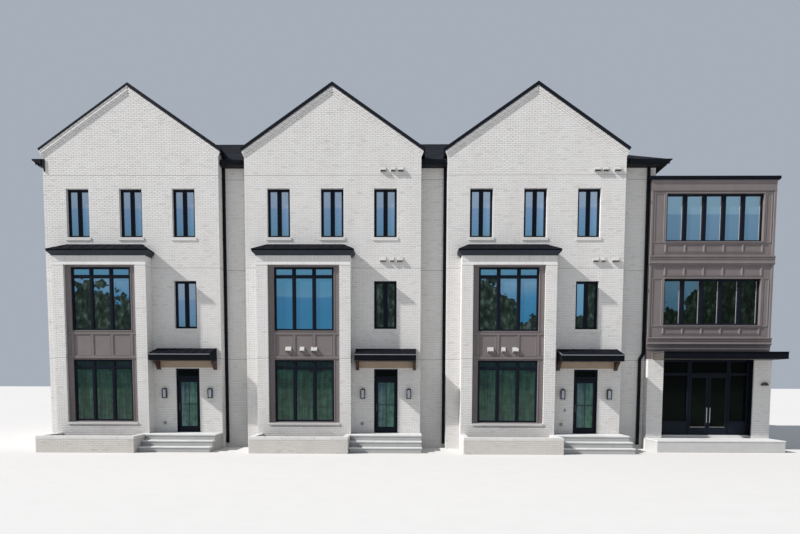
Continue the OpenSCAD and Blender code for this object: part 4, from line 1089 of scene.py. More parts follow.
def boards(h, x0, x1, y0, y1, along, z0=10790.0, z1=10830.0, w=92.0):
    if along == "x":
        n = max(1, round((y1 - y0) / w))
        s = (y1 - y0) / n
        for i in range(n):
            B.box(h, x0, x1, y0 + i * s + (2 if i else 0), y0 + (i + 1) * s - (2 if i < n - 1 else 0), z0, z1 - 12, 0, rng.random())
    else:
        n = max(1, round((x1 - x0) / w))
        s = (x1 - x0) / n
        for i in range(n):
            B.box(h, x0 + i * s + (2 if i else 0), x0 + (i + 1) * s - (2 if i < n - 1 else 0), y0, y1, z0, z1 - 12, 0, rng.random())
    B.box(h, x0, x1, y0, y1, z1 - 11, z1, 1, 0.5)


for h in (0, 1):
    boards(h, HALF, PITCH - HALF, EAVE_Y, 530, "x")
boards(0, RX0 + 94, -HALF, EAVE_Y, BACK_Y, "y")
boards(0, -HALF + 4, ROW + BX0 + 220, DEPTH, BACK_Y, "x")
boards(2, HALF, BX0 + 220, EAVE_Y, 530, "x")
boards(0, ROW + BX0 + 224, RX1 - 94, EAVE_Y, BACK_Y, "y")
B.make("eave_boards", [EAVE_BOARD, TRIM], "building", "soffit_board", ["soffits"], bevel=3)

# --------------------------------------------------------- bay roofs, canopies
B = Build()
for h in range(3):
    # a crown moulding that leans out to the roof edge
    prof = [(17, 7269), (17, 7286), (24, 7296), (38, 7318), (60, 7342), (92, 7370), (112, 7388), (122, 7398), (122, 7406),
            (130, 7408), (130, 7444)]
    pts = []
    for o, z in prof:
        pts += [M(h, -2825 - o, 0, z), M(h, -2825 - o, -560 - o, z), M(h, 716 + o, -560 - o, z), M(h, 716 + o, 0, z)]
    fc = [[3, 2, 1, 0], [4 * len(prof) - 4 + i for i in range(4)]]
    for k in range(len(prof) - 1):
        for i in range(4):
            j = (i + 1) % 4
            fc.append([4 * k + i, 4 * k + j, 4 * k + 4 + j, 4 * k + 4 + i])
    B.mesh(pts, fc, 1)
    # hipped metal sheets
    e, r = 7492.0, 7800.0
    A = [(-2965, -700, 7446), (850, -700, 7446), (850, 0, 7446), (-2965, 0, 7446),
         (-2965, -700, e - 6), (850, -700, e - 6), (850, 0, e - 6), (-2965, 0, e - 6), (-2515, 0, r - 6), (400, 0, r - 6)]
    fc = [[0, 3, 2, 1], [0, 1, 5, 4], [1, 2, 6, 5], [3, 0, 4, 7], [4, 5, 9, 8], [5, 6, 9], [7, 4, 8], [2, 3, 7, 8, 9, 6]]
    B.mesh([M(h, *p) for p in A], fc, 0, 0.5)
    # standing seams up the front slope and ribs on the hips
    sl = (r - e) / 700.0
    for i in range(1, 9):
        x = -2965 + i * (3815 / 9)
        reach = min(1.0, (x + 2965) / 450.0, (850 - x) / 450.0)
        p0, p1 = (x, -698, e - 6), (x, -700 + 700 * reach, e - 6 + (r - e) * reach)
        B.tube(h, [p0, p1], [(-7, 0), (7, 0), (7, 14), (-7, 14)], up=(0, -sl / math.hypot(1, sl), 1 / math.hypot(1, sl)), mat=0, tone=rng.random())
    for sx, ex in ((-2965, -2515), (850, 400)):
        B.tube(h, [(sx, -698, e - 6), (ex, 0, r - 6)], [(-11, 0), (11, 0), (9, 11), (-9, 11)], up=(0, -0.3, 0.95), mat=0, tone=0.8)
    B.box(h, -2965, 850, -703 + 3, -694, 7446, 7470, 0, 0.9)
    B.box(h, -2500, 385, -16, 0, 7788, 7802, 0, 0.7)
B.make("bay_roof_metal", [METAL, FASCIA], "building", "dark_metal", ["bay_roofs"], bevel=2)

B = Build()
for h in range(3):
    x0, x1 = 880.0, 3180.0
    # sloping metal top with seams, fascia in three steps, underside boards
    B.extrude(h, [(0, 3372), (-884, 3372), (-884, 3562), (0, 3820)][::-1], x0 + 4, x1 - 4, mat=1)
    # the leftmost strip of the top sheet takes the light grey paint: a painted highlight of the sun on its left end
    for a, b, mt in ((x0, x0 + 16, 2), (x0 + 16, x1, 0)):
        B.extrude(h, [(0, 3822), (-890, 3570), (-890, 3600), (0, 3850)][::-1], a, b, mat=mt)
    for z0, z1, y in ((3360, 3412, -900), (3420, 3500, -894), (3508, 3566, -898)):
        B.box(h, x0, x1, y, y + 14, z0, z1, 1, 0.5)
        for xs in (x0, x1 - 12):
            B.box(h, xs, xs + 12, y + 15, 0, z0, z1, 1, 0.5)
    # front drip strip in the light grey paint: a painted highlight along the edge
    B.box(h, x0, x1, -900, -891, 3572, 3600, 2, 0.9)
    s = 252.0 / 900
    for i in range(8):
        x = x0 + 14 + i * (x1 - x0 - 28) / 7
        B.tube(h, [(x, -898, 3598), (x, -3, 3848)], [(-7, 0), (7, 0), (7, 16), (-7, 16)],
               up=(0, -s / math.hypot(1, s), 1 / math.hypot(1, s)), mat=0, tone=rng.random())
    n = 9
    for i in range(n):
        a = -880 + i * 880 / n
        B.box(h, x0 + 14, x1 - 14, a + 2, a + 880 / n - 2, 3362, 3373, 3, rng.random())
B.make("entry_canopy_metal", [METAL, CANOPY, DRIP_HIGHLIGHT, SOFFIT], "building", "dark_metal", ["entry_canopies"], bevel=1.5)

B = Build()
for h in range(3):
    for x in (880, 3070):
        # curved bracket: post, arm and brace cut from one plank
        prof = [(0, 3024), (0, 3360), (-420, 3360), (-420, 3304), (-404, 3286), (-330, 3246), (-250, 3182), (-180, 3106), (-130, 3036), (-110, 3024)]
        B.extrude(h, prof, x, x + 110, mat=0, tone=0.4)
        for yb, zb in ((-50, 3320), (-50, 3090), (-350, 3320)):
            B.round(h, (x - 4, yb, zb), (x + 114, yb, zb), 9, 8, mat=2)
    B.box(h, 994, 3066, -60, 0, 3110, 3360, 1, 0.5)
B.make("canopy_brackets", [TIMBER, LEDGER, LAMP], "building", "dark_timber", ["canopy_timbers"], bevel=4)

# ------------------------------------------------------------ windows, glass
FRAME_MATS = [FRAME, SASH]


def casement(B, G, place, x, z, glass, sky=(1.0, 1.0)):
    """Outer frame, a mullion, two sashes with beads, and the panes behind."""
    w, hgt = WIN_W, WIN_H
    # outer frame with a chamfer
    B.ring(place, x, x + w, z, z + hgt, [(0, -60), (0, -4), (4, 0), (50, 0), (55, -5), (55, -60)][::-1], 0)
    B.box_face(place, x + w / 2 - 45, x + w / 2 + 45, z + 52, z + hgt - 52, 0, -60)
    for a, b, t in ((x + 55, x + w / 2 - 45, sky[0]), (x + w / 2 + 45, x + w - 55, sky[1])):
        B.ring(place, a, b, z + 55, z + hgt - 55, [(0, -50), (0, -16), (3, -13), (27, -13), (38, -24), (38, -50)][::-1], 1)
        pane(G, place, a + 30, b - 30, z + 80, z + hgt - 80, -44, -50, glass, z, z + hgt, t)


def box_face(self, place, u0, u1, v0, v1, d1, d0, mat=0, tone=0.5, c=4.0):
    poly = [(u0, v0), (u1, v0), (u1, v1), (u0, v1)]
    inner = [(u0 + c, v0), (u1 - c, v0), (u1 - c, v1), (u0 + c, v1)]
    pts = [place(u, v, d1) for u, v in inner] + [place(u, v, d1 - c) for u, v in poly] + [place(u, v, d0) for u, v in poly]
    faces = [[0, 1, 2, 3], [4, 0, 3, 7], [1, 5, 6, 2], [4, 5, 1, 0], [3, 2, 6, 7],
             [8, 4, 7, 11], [5, 9, 10, 6], [8, 9, 5, 4], [7, 6, 10, 11], [11, 10, 9, 8]]
    self.mesh(pts, faces, mat, tone)


Build.box_face = box_face


def pane(G, place, u0, u1, v0, v1, d1, d0, glass, g0, g1, sky=1.0):
    """One sheet of glass; sky is the line of its painted reflection, one value or one for each side."""
    r = lambda v: max(0.0, min(1.0, (v - g0) / (g1 - g0))) + 1e-4
    a, b = sky if isinstance(sky, tuple) else (sky, sky)
    pts = [place(u, v, d) for d in (d1, d0) for u, v in ((u0, v0), (u1, v0), (u1, v1), (u0, v1))]
    gr = [r(v0), r(v0), r(v1), r(v1)] * 2
    G.mesh(pts, [[0, 1, 2, 3], [7, 6, 5, 4], [0, 4, 5, 1], [1, 5, 6, 2], [2, 6, 7, 3], [3, 7, 4, 0]], glass, 0.5, gr, [a, b, b, a] * 2)


GLASSES = [G_UP, G_BAY, G_LOW, G_DOOR, G_TOP, G_MID, G_SHOP, G_BACK]
UP, BAY, LOW, DOOR, TOP, MIDB, SHOP, REAR = range(8)
W, G = Build(), Build()
for h in range(3):
    f = front(h, 150)
    for x, z in FRONT_WIN:
        # each pane's sky value sets where its painted sky reflection gives way to painted trees
        sky = (0.88, 0.92, 1.0)[h]
        pair = {1: (0.10, 0.12), 2: (0.62, 0.10)}.get(h, (sky, sky)) if z < 6000 else (sky, sky)
        casement(W, G, f, x, z, UP, pair)
f = back(0, DEPTH - 150)
for h in range(3):
    for x in (-1900, 1030):
        for z in (LOW_Z, MID_Z, TOP_Z):
            casement(W, G, f, -(h * PITCH + x + WIN_W), z, REAR)
f = back(2, DEPTH - 150)
for x in (LX0 + 300, LX0 + 2500):
    for z in (MID_Z, TOP_Z):
        casement(W, G, f, -(x + WIN_W), z, REAR)
f = left(0, -HALF + 150)
for y in (3200, 7400):
    for z in (LOW_Z, MID_Z, TOP_Z):
        casement(W, G, f, -(y + WIN_W), z, REAR)
W.make("casement_windows", FRAME_MATS, "building", "dark_frame", ["casement_frames"])

# bay windows: three lights and three top lights on two storeys
W = Build()
MUL = (-1428.0, -672.0)
# for each bay light, where the painted sky reflection gives way to painted trees
BAY_SKY = [[(0.33, 0.35), (0.405, 0.425), (0.45, 0.54)], [1.0, 1.0, 1.0], [(0.30, 0.345), (0.41, 0.53), (0.72, 0.70)]]
for h in range(3):
    f = front(h, -410)
    for z0, z1, bar, glass in ((1047, 3403, 3095, LOW), (4492, 6869, 6516, BAY)):
        W.ring(f, -2175, 75, z0, z1, [(0, -70), (0, -4), (4, 0), (50, 0), (50, -70)][::-1], 0)
        for x in MUL:
            W.box_face(f, x - 44, x + 44, z0 + 50, z1 - 50, 3, -70)
        xs = [-2125, MUL[0] - 44, MUL[0] + 44, MUL[1] - 44, MUL[1] + 44, 25]
        for k in range(3):
            a, b = xs[2 * k], xs[2 * k + 1]
            W.box_face(f, a, b, bar - 36, bar + 36, -2, -70)
            for c, d in ((z0 + 50, bar - 36), (bar + 36, z1 - 50)):
                W.ring(f, a, b, c, d, [(0, -60), (0, -14), (3, -11), (16, -11), (26, -22), (26, -60)][::-1], 1)
                pane(G, f, a + 20, b - 20, c + 20, d - 20, -52, -58, glass, z0, z1, BAY_SKY[h][k] if c < bar and glass == BAY else 1.0)
            if glass == LOW:
                # slim bars behind the glass of the lower lights
                for i in (1, 2):
                    x = a + (b - a) * i / 3
                    W.slab(f, x - 9, x + 9, z0 + 76, bar - 62, -49.5, -51.5, 2)
                for i in range(1, 4):
                    z = z0 + 76 + (bar - 62 - z0 - 76) * i / 4
                    W.slab(f, a + 26, b - 26, z - 9, z + 9, -49.0, -51.6, 2)
BARS = make_paint("slim_bar", (0.010, 0.018, 0.016), (0.016, 0.026, 0.023), 0.4, 0.1)
W.make("bay_windows", [FRAME, SASH, BARS], "building", "dark_frame", ["bay_window_frames"])

# mouldings on the bay panelling
B = Build()
for h in range(3):
    f = front(h, -440)
    for z0, z1 in ((1047, 3403), (4492, 6869)):
        B.ring(f, -2215, 115, z0 - 28, z1 + 28, [(0, -1), (0, 10), (6, 16), (28, 16), (36, 6), (36, -1)][::-1], 0, 0.5)
    zs = (3550, 4350)
    xs = [-2395, -2220, -2130, -1473, -1383, -717, -627, 30, 120, 295]
    for a, b in ((-2395, -2220), (-2130, -1473), (-1383, -717), (-627, 30), (120, 295)):
        B.ring(f, a + 14, b - 14, zs[0] + 14, zs[1] - 14, [(0, -1), (0, 7), (5, 10), (16, 10), (24, 3), (24, -1)][::-1], 0, 0.5)
    B.box(h, -2395, 295, -472, -440, 4436, 4450, 0, 0.6)
    B.box(h, -2395, 295, -470, -440, 3443, 3455, 0, 0.4)
B.make("bay_panel_mouldings", [TAUPE], "building", "taupe_panel", bevel=2)

# ------------------------------------------------------------------ entries
W = Build()
for h in range(3):
    f = front(h, 60)
    # jambs, transom bar and head, with a stop for the leaf
    W.box_face(f, 1564, 1609, 600, 3080, 0, -100)
    W.box_face(f, 2439, 2484, 600, 3080, 0, -100)
    W.box_face(f, 1609, 2439, 2700, 2770, -2, -100)
    W.box_face(f, 1609, 2439, 3040, 3080, -1, -100)
    W.ring(f, 1609, 2439, 2770, 3040, [(0, -90), (0, -12), (14, -12), (24, -24), (24, -90)][::-1], 1)
    pane(G, f, 1628, 2420, 2788, 3022, -46, -54, SHOP, 2700, 3080)
W.make("entry_frames", FRAME_MATS, "building", "dark_frame", ["door_frames"])

for h in range(3):
    W, D = Build(), Build()
    f = front(h, 100)
    x0, x1, z0, z1 = 1619.0, 2433.0, 610.0, 2690.0
    gx0, gx1, gz0, gz1 = x0 + 95, x1 - 80, 820.0, 2560.0
    W.box_face(f, x0, gx0, z0, z1, 0, -45)
    W.box_face(f, gx1, x1, z0, z1, 0, -45)
    W.box_face(f, gx0, gx1, z0, gz0, 0, -45)
    W.box_face(f, gx0, gx1, gz1, z1, 0, -45)
    for dd, s in ((0.0, 1), (-45.0, -1)):
        prof = [(-14, dd - s * 2), (-14, dd + s * 3), (0, dd + s * 3), (12, dd - s * 8), (12, dd - s * 12)]
        if s > 0:
            prof = prof[::-1]
        W.ring(f, gx0, gx1, gz0, gz1, prof, 1)
    mx, mz = (gx0 + gx1) / 2, 1690.0
    W.box_face(f, mx - 11, mx + 11, gz0 + 8, gz1 - 8, -9, -17, 1)
    W.box_face(f, gx0 + 8, gx1 - 8, mz - 11, mz + 11, -8, -17, 1)
    W.box_face(f, mx - 11, mx + 11, gz0 + 8, gz1 - 8, -28, -36, 1)
    # kick plate
    W.slab(f, x0 + 40, x1 - 40, 636, 790, 2.5, -1, 1, 0.6)
    # handle: long plate, lever and cylinder, on both faces
    for y, s in ((100.0, -1), (145.0, 1)):
        W.box(h, x0 + 25, x0 + 65, min(y, y + s * 11), max(y, y + s * 11), 1440, 1720, 2, 0.5)
        W.round(h, (x0 + 45, y + s * 8, 1581), (x0 + 45, y + s * 52 if s < 0 else y + 11.5, 1581), 10, 12, mat=2)
        W.round(h, (x0 + 45, y + s * 8, 1480), (x0 + 45, y + s * 11.8, 1480), 14, 12, mat=2)
    W.round(h, (x0 + 34, 50, 1581), (x0 + 150, 50, 1581), 9, 12, mat=2)
    for z in (760, 1590, 2430):
        W.round(h, (2436, 172, z), (2436, 172, z + 110), 7, 14, mat=2)
        W.box(h, 2427, 2433, 145, 172, z, z + 110, 2)
        W.box(h, 2388, 2433, 145, 149, z, z + 110, 2)
    pane(D, f, gx0 - 3, gx1 + 3, gz0 - 3, gz1 + 3, -17, -27, 0, gz0, gz1, (0.0, 1.0))
    W.make(f"entry_door_{h + 1}", [FRAME, SASH, LAMP], f"door_{h + 1}", "dark_frame", [f"door_leaf_{h + 1}"])
    D.make(f"entry_door_glass_{h + 1}", [G_DOOR], f"door_{h + 1}", "window_glass", [f"door_glass_{h + 1}"])

# stone steps: treads with a nosing over set-back risers; the risers take a darker copy of the stone, painted shade
B = Build()
for h in range(3):
    for y0, y1, z, zb in ((-1070, 0, 600, 0), (-1400, -1074, 400, 0), (-1730, -1404, 200, 0)):
        B.box(h, 768, 3382, y0 + 20, y1, zb, z - 52, 1, 0.3)
        n = 3
        for i in range(n):
            a = 750 + i * 2650 / n + (2 if i else 0)
            b = 750 + (i + 1) * 2650 / n - (2 if i < n - 1 else 0)
            if y1 == 0:
                B.box(h, a, b, y0, y0 + 533, z - 50, z, 0, rng.random())
                B.box(h, a, b, y0 + 537, y1, z - 50, z, 0, rng.random())
            else:
                B.box(h, a, b, y0, y1, z - 50, z, 0, rng.random())
    # the face under the door's threshold stone also takes the darker stone, painted shade
    B.box(h, 1564, 2484, 4, 350, 0, 560, 1, 0.4)
    B.box(h, 1564, 2484, 4, 350, 562, 600, 0, 0.6)
B.make("entry_stone_steps", [STEP, make_stone("stone_riser_painted_shade", (0.33, 0.33, 0.325), (0.44, 0.44, 0.43))], "building", "light_stone",
       ["entry_steps"], bevel=6, seg=2)

# cap stones on the planters
B = Build()
for h in range(3):
    z0, z1 = 490, 600
    n = 6
    for i in range(n):
        a = -2820 + i * 3565 / n
        B.box(h, a + (2 if i else 0), a + 3565 / n - (2 if i < n - 1 else 0), -2000, -1800, z0, z1, 0, rng.random())
    for x in (-2820, 545):
        for i in range(2):
            a = -1796 + i * 618
            B.box(h, x, x + 200, a + (2 if i else 0), a + 618 - (2 if i == 0 else 0), z0, z1, 0, rng.random())
B.make("planter_cap_stones", [STONE], "building", "light_stone", ["planter_caps"], bevel=7, seg=2)

# ----------------------------------------------------------------- fittings
B = Build()
for h in range(3):
    for x in (1138, 2914):
        B.box(h, x - 55, x + 55, -14, 0, 1990, 2270, 0, 0.5)
        B.box(h, x - 20, x + 20, -34, -12, 2240, 2262, 0)
        B.box(h, x - 20, x + 20, -34, -12, 2000, 2022, 0)
        y0, y1 = -130, -30
        z0, z1 = 1930, 2330
        # base tray, corner bars, head frame and a stepped cap
        B.box(h, x - 90, x + 90, y0, y1, z0, z0 + 18, 0)
        B.box(h, x - 76, x + 76, y0 + 12, y1 - 12, z0 + 18, z0 + 30, 0)
        for cx in (x - 88, x + 60):
            for cy in (y0 + 2, y1 - 26):
                B.box(h, cx, cx + 28, cy, cy + 24, z0 + 18, z1 - 62, 0)
        B.box(h, x - 90, x + 90, y0, y1, z1 - 62, z1 - 44, 0)
        cap = [(x - 84, z1 - 44), (x + 84, z1 - 44), (x + 46, z1 - 12), (x - 46, z1 - 12)]
        B.prism(front(h, y0 + 4), cap, 0, -(y1 - y0 - 8), 0, 0.5, closed=True)
        B.box(h, x - 30, x + 30, y0 + 26, y1 - 26, z1 - 12, z1, 0)
        # frosted chimney inside
        B.box(h, x - 56, x + 56, y0 + 18, y1 - 10, z0 + 31, z1 - 63, 1)
B.make("wall_lanterns", [LAMP, BULB], "building", "lamp_metal", ["wall_lamps"], bevel=2)

B = Build()
for h in range(3):
    B.box(h, 1050, 1165, -14, 0, 905, 1020, 0, 0.4)
    B.box(h, 1062, 1153, -52, -14, 917, 1008, 0, 0.6)
    B.box(h, 1068, 1147, -60, -52, 990, 1004, 0, 0.5)
    B.round(h, (1107.5, -60, 955), (1107.5, -50, 955), 22, 14, mat=0, tone=0.2)
# a bell box beside the third door
B.box(2, 1215, 1275, -10, 0, 1455, 1570, 0, 0.3)
B.box(2, 1220, 1270, -22, -10, 1460, 1565, 0, 0.5)
B.round(2, (1245, -25, 1530), (1245, -21, 1530), 14, 14, mat=1)
B.box(2, 1230, 1260, -24, -22, 1478, 1500, 1, 0.5)
# a round-topped fitting on the shop pier
pts = [(8899 + 125 * math.cos(a), 2480 + 125 * math.sin(a)) for a in [math.pi * i / 16 for i in range(17)]]
B.prism(front(2, 20), pts, 0, -110, 1, 0.5, closed=True)
B.make("wall_boxes_fitted", [GREYBOX, LAMP], "building", "box_grey", ["wall_boxes"], bevel=3)

B = Build()
TOPS = [[[1812, 2020], [2208, 2380], [2472, 2682]], [[2140, 2396], [2466, 2676], [2884, 3139]]]
MIDS = [[[1795, 2025], [2176, 2330], [2443, 2672]], [[2164, 2388], [2470, 2640], [2884, 3150]]]
BAYS = [[[-1764, -1540], [-1217, -1044], [-793, -560]], [[-1830, -1600], [-1300, -1149], [-886, -660]]]


def hood(h, p, y, z0, z1):
    t = 4.0
    x0, x1 = p
    # shell: two cheeks, a front lip, a sloping top, a wall flange, and louvre blades under it
    cheek = [(y, z0), (y, z1), (y - 95, z0 + 60), (y - 95, z0)]
    for a in (x0, x1 - t):
        B.extrude(h, cheek, a, a + t)
    B.box(h, x0 + t, x1 - t, y - 95, y - 95 + t, z0 + 38, z0 + 60)
    # a dark plate fills the mouth under the lip: painted shade
    B.box(h, x0 + t, x1 - t, y - 91, y - 88, z0 + 3, z0 + 37, 1)
    k = (z1 - z0 - 60) / 95.0
    B.extrude(h, [(y, z1 - t * 1.4), (y, z1), (y - 95, z0 + 60), (y - 95, z0 + 60 - t * 1.4)], x0 + t, x1 - t)
    B.box(h, x0, x1, y - 7, y, z0, z1)
    for i in range(3):
        yy = y - 82 + i * 26
        B.extrude(h, [(yy, z0 + 8), (yy - 3, z0 + 10), (yy + 15, z0 + 34), (yy + 18, z0 + 32)], x0 + t, x1 - t, mat=1, tone=0.3)
    for xx in (x0 + 12, x1 - 12):
        B.round(h, (xx, y - 12, z1 - 14), (xx, y - 6, z1 - 14), 5, 8)


for h in (1, 2):
    for p in TOPS[h - 1]:
        hood(h, p, 0, 10485, 10668)
    for p in MIDS[h - 1]:
        hood(h, p, 0, 7137, 7325)
    for p in BAYS[h - 1]:
        hood(h, p, -440, 3694, 3897)
B.make("air_outlet_hoods", [WHITE, LAMP], "building", "white_hood", ["vent_hoods"], bevel=1.5)

# ---------------------------------------------------------------- end block
B = Build()


def band(z0, z1, out, prof, x0, x1):
    """A moulded band: prof lists (share of the projection, height from z0) up the face."""
    pts = [(BY, z0)] + [(BY - out * a, z0 + b) for a, b in prof] + [(BY, z1)]
    B.extrude(2, pts[::-1], x0, x1, mat=0, tone=0.5)


for z0, z1 in ((7091, 7433), (4017, 4327)):
    H_ = z1 - z0
    band(z0, z1, 100, [(0.35, 0), (0.35, 18), (0.66, 34), (0.66, 52), (0.84, 54), (0.84, 84), (0.58, 108), (0.58, H_ - 134), (0.80, H_ - 118),
                       (0.80, H_ - 96), (0.62, H_ - 78), (0.62, H_ - 66), (1.0, H_ - 44), (1.0, H_ - 22), (0.72, H_)], BX0 - 20, BX1 + 20)
band(9867, 10270, 40, [(1.0, 0), (1.0, 40), (0.62, 44), (0.62, 300), (0.8, 306), (1.0, 340), (1.0, 403)], BX0, BX1)
band(3870, 4013, 40, [(0.7, 0), (0.7, 100), (1.0, 106), (1.0, 143)], BX0, BX1)
for z in (4806, 7979):
    B.extrude(2, [(BY, z - 80), (BY - 44, z - 80), (BY - 44, z - 30), (BY - 60, z - 24), (BY - 60, z - 4), (BY - 56, z), (BY, z)][::-1],
              LX0 - 60, LX0 + 5 * LW + 60, mat=0, tone=0.6)
f = front(2, BY)
for k in range(6):
    x = LX0 + k * LW
    for z0, z1 in ((4480, 4690), (6700, 7050), (7590, 7860)):
        B.box_face(f, x - 42, x + 42, z0, z1, 28, 0, 0, 0.9, 25.0)
for x0, x1 in ((BX0, BX0 + 100), (BX1 - 100, BX1)):
    for z0, z1 in ((4331, 7087), (7437, 9863)):
        B.box_face(f, x0, x1, z0, z1, 30, 0, 0, 0.5, 15.0)
# rails above and below the small panels, mouldings in the side panels
for z0, z1 in ((4448, 4480), (4690, 4726), (6668, 6700), (7050, 7088), (7558, 7590), (7860, 7898)):
    B.box_face(f, LX0 - 60, LX0 + 5 * LW + 60, z0, z1, 16, 0, 0, 0.45)
for z0, z1 in ((4806, 6571), (7979, 9775)):
    for a, b in ((BX0 + 100, LX0 - 30), (LX0 + 5 * LW + 30, BX1 - 100)):
        B.ring(f, a + 34, b - 34, z0 - 60, z1 + 20, [(0, -1), (0, 14), (6, 18), (34, 18), (46, 6), (46, -1)][::-1], 0, 0.5)
    B.ring(f, LX0 - 56, LX0 + 5 * LW + 56, z0 - 56, z1 + 56, [(0, -1), (0, 20), (6, 24), (50, 24), (56, 14), (56, -1)][::-1], 0, 0.5)
# small panels: a bead inside each field
for k in range(5):
    a, b = LX0 + k * LW + 30, LX0 + (k + 1) * LW - 30
    for z0, z1 in ((4480, 4690), (6700, 7050), (7590, 7860)):
        B.ring(f, a + 20, b - 20, z0 + 18, z1 - 18, [(0, -1), (0, 6), (4, 9), (14, 9), (20, 3), (20, -1)][::-1], 0, 0.5)
# left side of the block, which stands in front of the brick wall
g = left(2, BX0)
for z0, z1 in ((4331, 7087), (7437, 9863)):
    B.box_face(g, -528, -BY, z0, z1, 6, 0, 0, 0.5)
B.make("block_panel_mouldings", [TAUPE], "building", "taupe_panel", ["block_mouldings"], bevel=2)

W = Build()
f = front(2, 420)
# for each middle pane, where the painted sky reflection gives way to painted trees
MID_SKY = [(0.62, 0.60), (0.52, 0.36), 0.12, 0.10, 0.12]
for z0, z1, glass in ((4806, 6571, MIDB), (7979, 9775, TOP)):
    W.ring(f, LX0, LX0 + 5 * LW, z0, z1, [(0, -70), (0, -4), (4, 0), (44, 0), (44, -70)][::-1], 0)
    for k in range(5):
        a = LX0 + k * LW + (44 if k == 0 else 60)
        b = LX0 + (k + 1) * LW - (44 if k == 4 else 60)
        if k < 4:
            W.box_face(f, b, b + 120, z0 + 44, z1 - 44, 2, -70)
        W.ring(f, a, b, z0 + 44, z1 - 44, [(0, -60), (0, -14), (3, -11), (18, -11), (28, -22), (28, -60)][::-1], 1)
        pane(G, f, a + 22, b - 22, z0 + 66, z1 - 66, -56, -62, glass, z0, z1, MID_SKY[k] if glass == MIDB else 1.0)
        # a pale strip at the right edge of each pane, painted lighter as the bright sunlit line beside each mullion: a
        # painted highlight
        W.box_face(f, b - 50, b - 28, z0 + 72, z1 - 72, -49, -56, 3, 0.5, 3.0)
f = front(2, 430)
for x0, x1 in ((5034, 6175), (7685, 8501)):
    W.ring(f, x0, x1, 540, 3485, [(0, -70), (0, -3), (3, 0), (60, 0), (60, -70)][::-1], 0)
    W.box_face(f, x0 + 60, x1 - 60, 600, 1080, -6, -64)
    W.slab(f, x0 + 76, x1 - 76, 640, 1040, -4, -7, 1, 0.5)
    W.box_face(f, x0 + 60, x1 - 60, 2892, 2952, -2, -68)
    for c, d in ((1080, 2892), (2952, 3425)):
        W.ring(f, x0 + 60, x1 - 60, c, d, [(0, -60), (0, -10), (14, -10), (24, -20), (24, -60)][::-1], 1)
        pane(G, f, x0 + 80, x1 - 80, c + 20, d - 20, -70, -78, SHOP, 540, 3485)
for g, a, b in ((right(2, 5034), 200, 430), (left(2, 8501), -430, -200)):
    W.slab(g, a, b, 540, 3485, 14, 0, 0, 0.5)
W.ring(f, 6179, 7681, 2900, 3485, [(0, -70), (0, -3), (3, 0), (50, 0), (50, -70)][::-1], 0)
W.ring(f, 6229, 7631, 2950, 3435, [(0, -60), (0, -10), (14, -10), (24, -20), (24, -60)][::-1], 1)
pane(G, f, 6245, 7615, 2966, 3419, -70, -78, SHOP, 540, 3485)
W.make("block_windows_and_shop_front", [FRAME, SASH, STEEL, EDGE_HIGHLIGHT], "building", "dark_frame", ["block_frames"])
G_ob = G.make("window_panes", GLASSES, "building", "window_glass", ["house_glass", "block_glass"])

for name, x0, x1, xp, xe, sgn in (("left", 6182.0, 6924.0, 6868.0, 6182.0, 1), ("right", 6936.0, 7678.0, 6992.0, 7678.0, -1)):
    W, D = Build(), Build()
    f = front(2, 440)
    z0, z1 = 550.0, 2892.0
    a, b, c, d = x0 + 80, x1 - 80, 860.0, 2800.0
    W.box_face(f, x0, a, z0, z1, 0, -45)
    W.box_face(f, b, x1, z0, z1, 0, -45)
    W.box_face(f, a, b, z0, c, 0, -45)
    W.box_face(f, a, b, d, z1, 0, -45)
    W.slab(f, x0 + 20, x1 - 20, 575, 830, 3, -1, 1, 0.5)
    W.slab(f, a, b, c - 14, c - 2, 5, -1, 2, 0.5)
    for dd, s in ((0.0, 1), (-45.0, -1)):
        prof = [(-12, dd - s * 2), (-12, dd + s * 3), (0, dd + s * 3), (12, dd - s * 8), (12, dd - s * 12)]
        W.ring(f, a, b, c, d, prof[::-1] if s > 0 else prof, 1)
    W.round(2, (xp, 386, 1020), (xp, 386, 1620), 14, 16, mat=2)
    for z in (1080, 1560):
        W.round(2, (xp, 386, z), (xp, 441, z), 11, 12, mat=2)
    xh = xe - 2 * sgn
    for z in (690, 1660, 2660):
        W.round(2, (xh, 418, z), (xh, 418, z + 110), 7, 14, mat=0)
        W.box(2, min(xe, xe + 6 * sgn), max(xe, xe + 6 * sgn), 418, 440, z, z + 110, 0)
        W.box(2, min(xe, xe + 45 * sgn), max(xe, xe + 45 * sgn), 436, 440, z, z + 110, 0)
    pane(D, f, a - 3, b + 3, c - 3, d + 3, -16, -28, 0, 540, 3485)
    W.make(f"shop_door_leaf_{name}", [FRAME, SASH, STEEL], f"shop_{name}", "dark_frame", [f"shop_door_{name}"])
    D.make(f"shop_door_glass_{name}", [G_SHOP], f"shop_{name}", "window_glass", [f"shop_glass_{name}"])

# steel canopy: channel edges, a deck with ribs and a boarded underside; its front hangs a little below the pier heads
B = Build()
x0, x1, y0, y1, z0, z1 = 4620.0, 9170.0, -940.0, 330.0, 3463.0, 3730.0
CH = [(0, 0), (0, 24), (-24, 24), (-24, 243), (0, 243), (0, 267), (-60, 267), (-60, 0)]
B.extrude(2, [(y0 - a, z0 + b) for a, b in CH], x0, x1, mat=0)
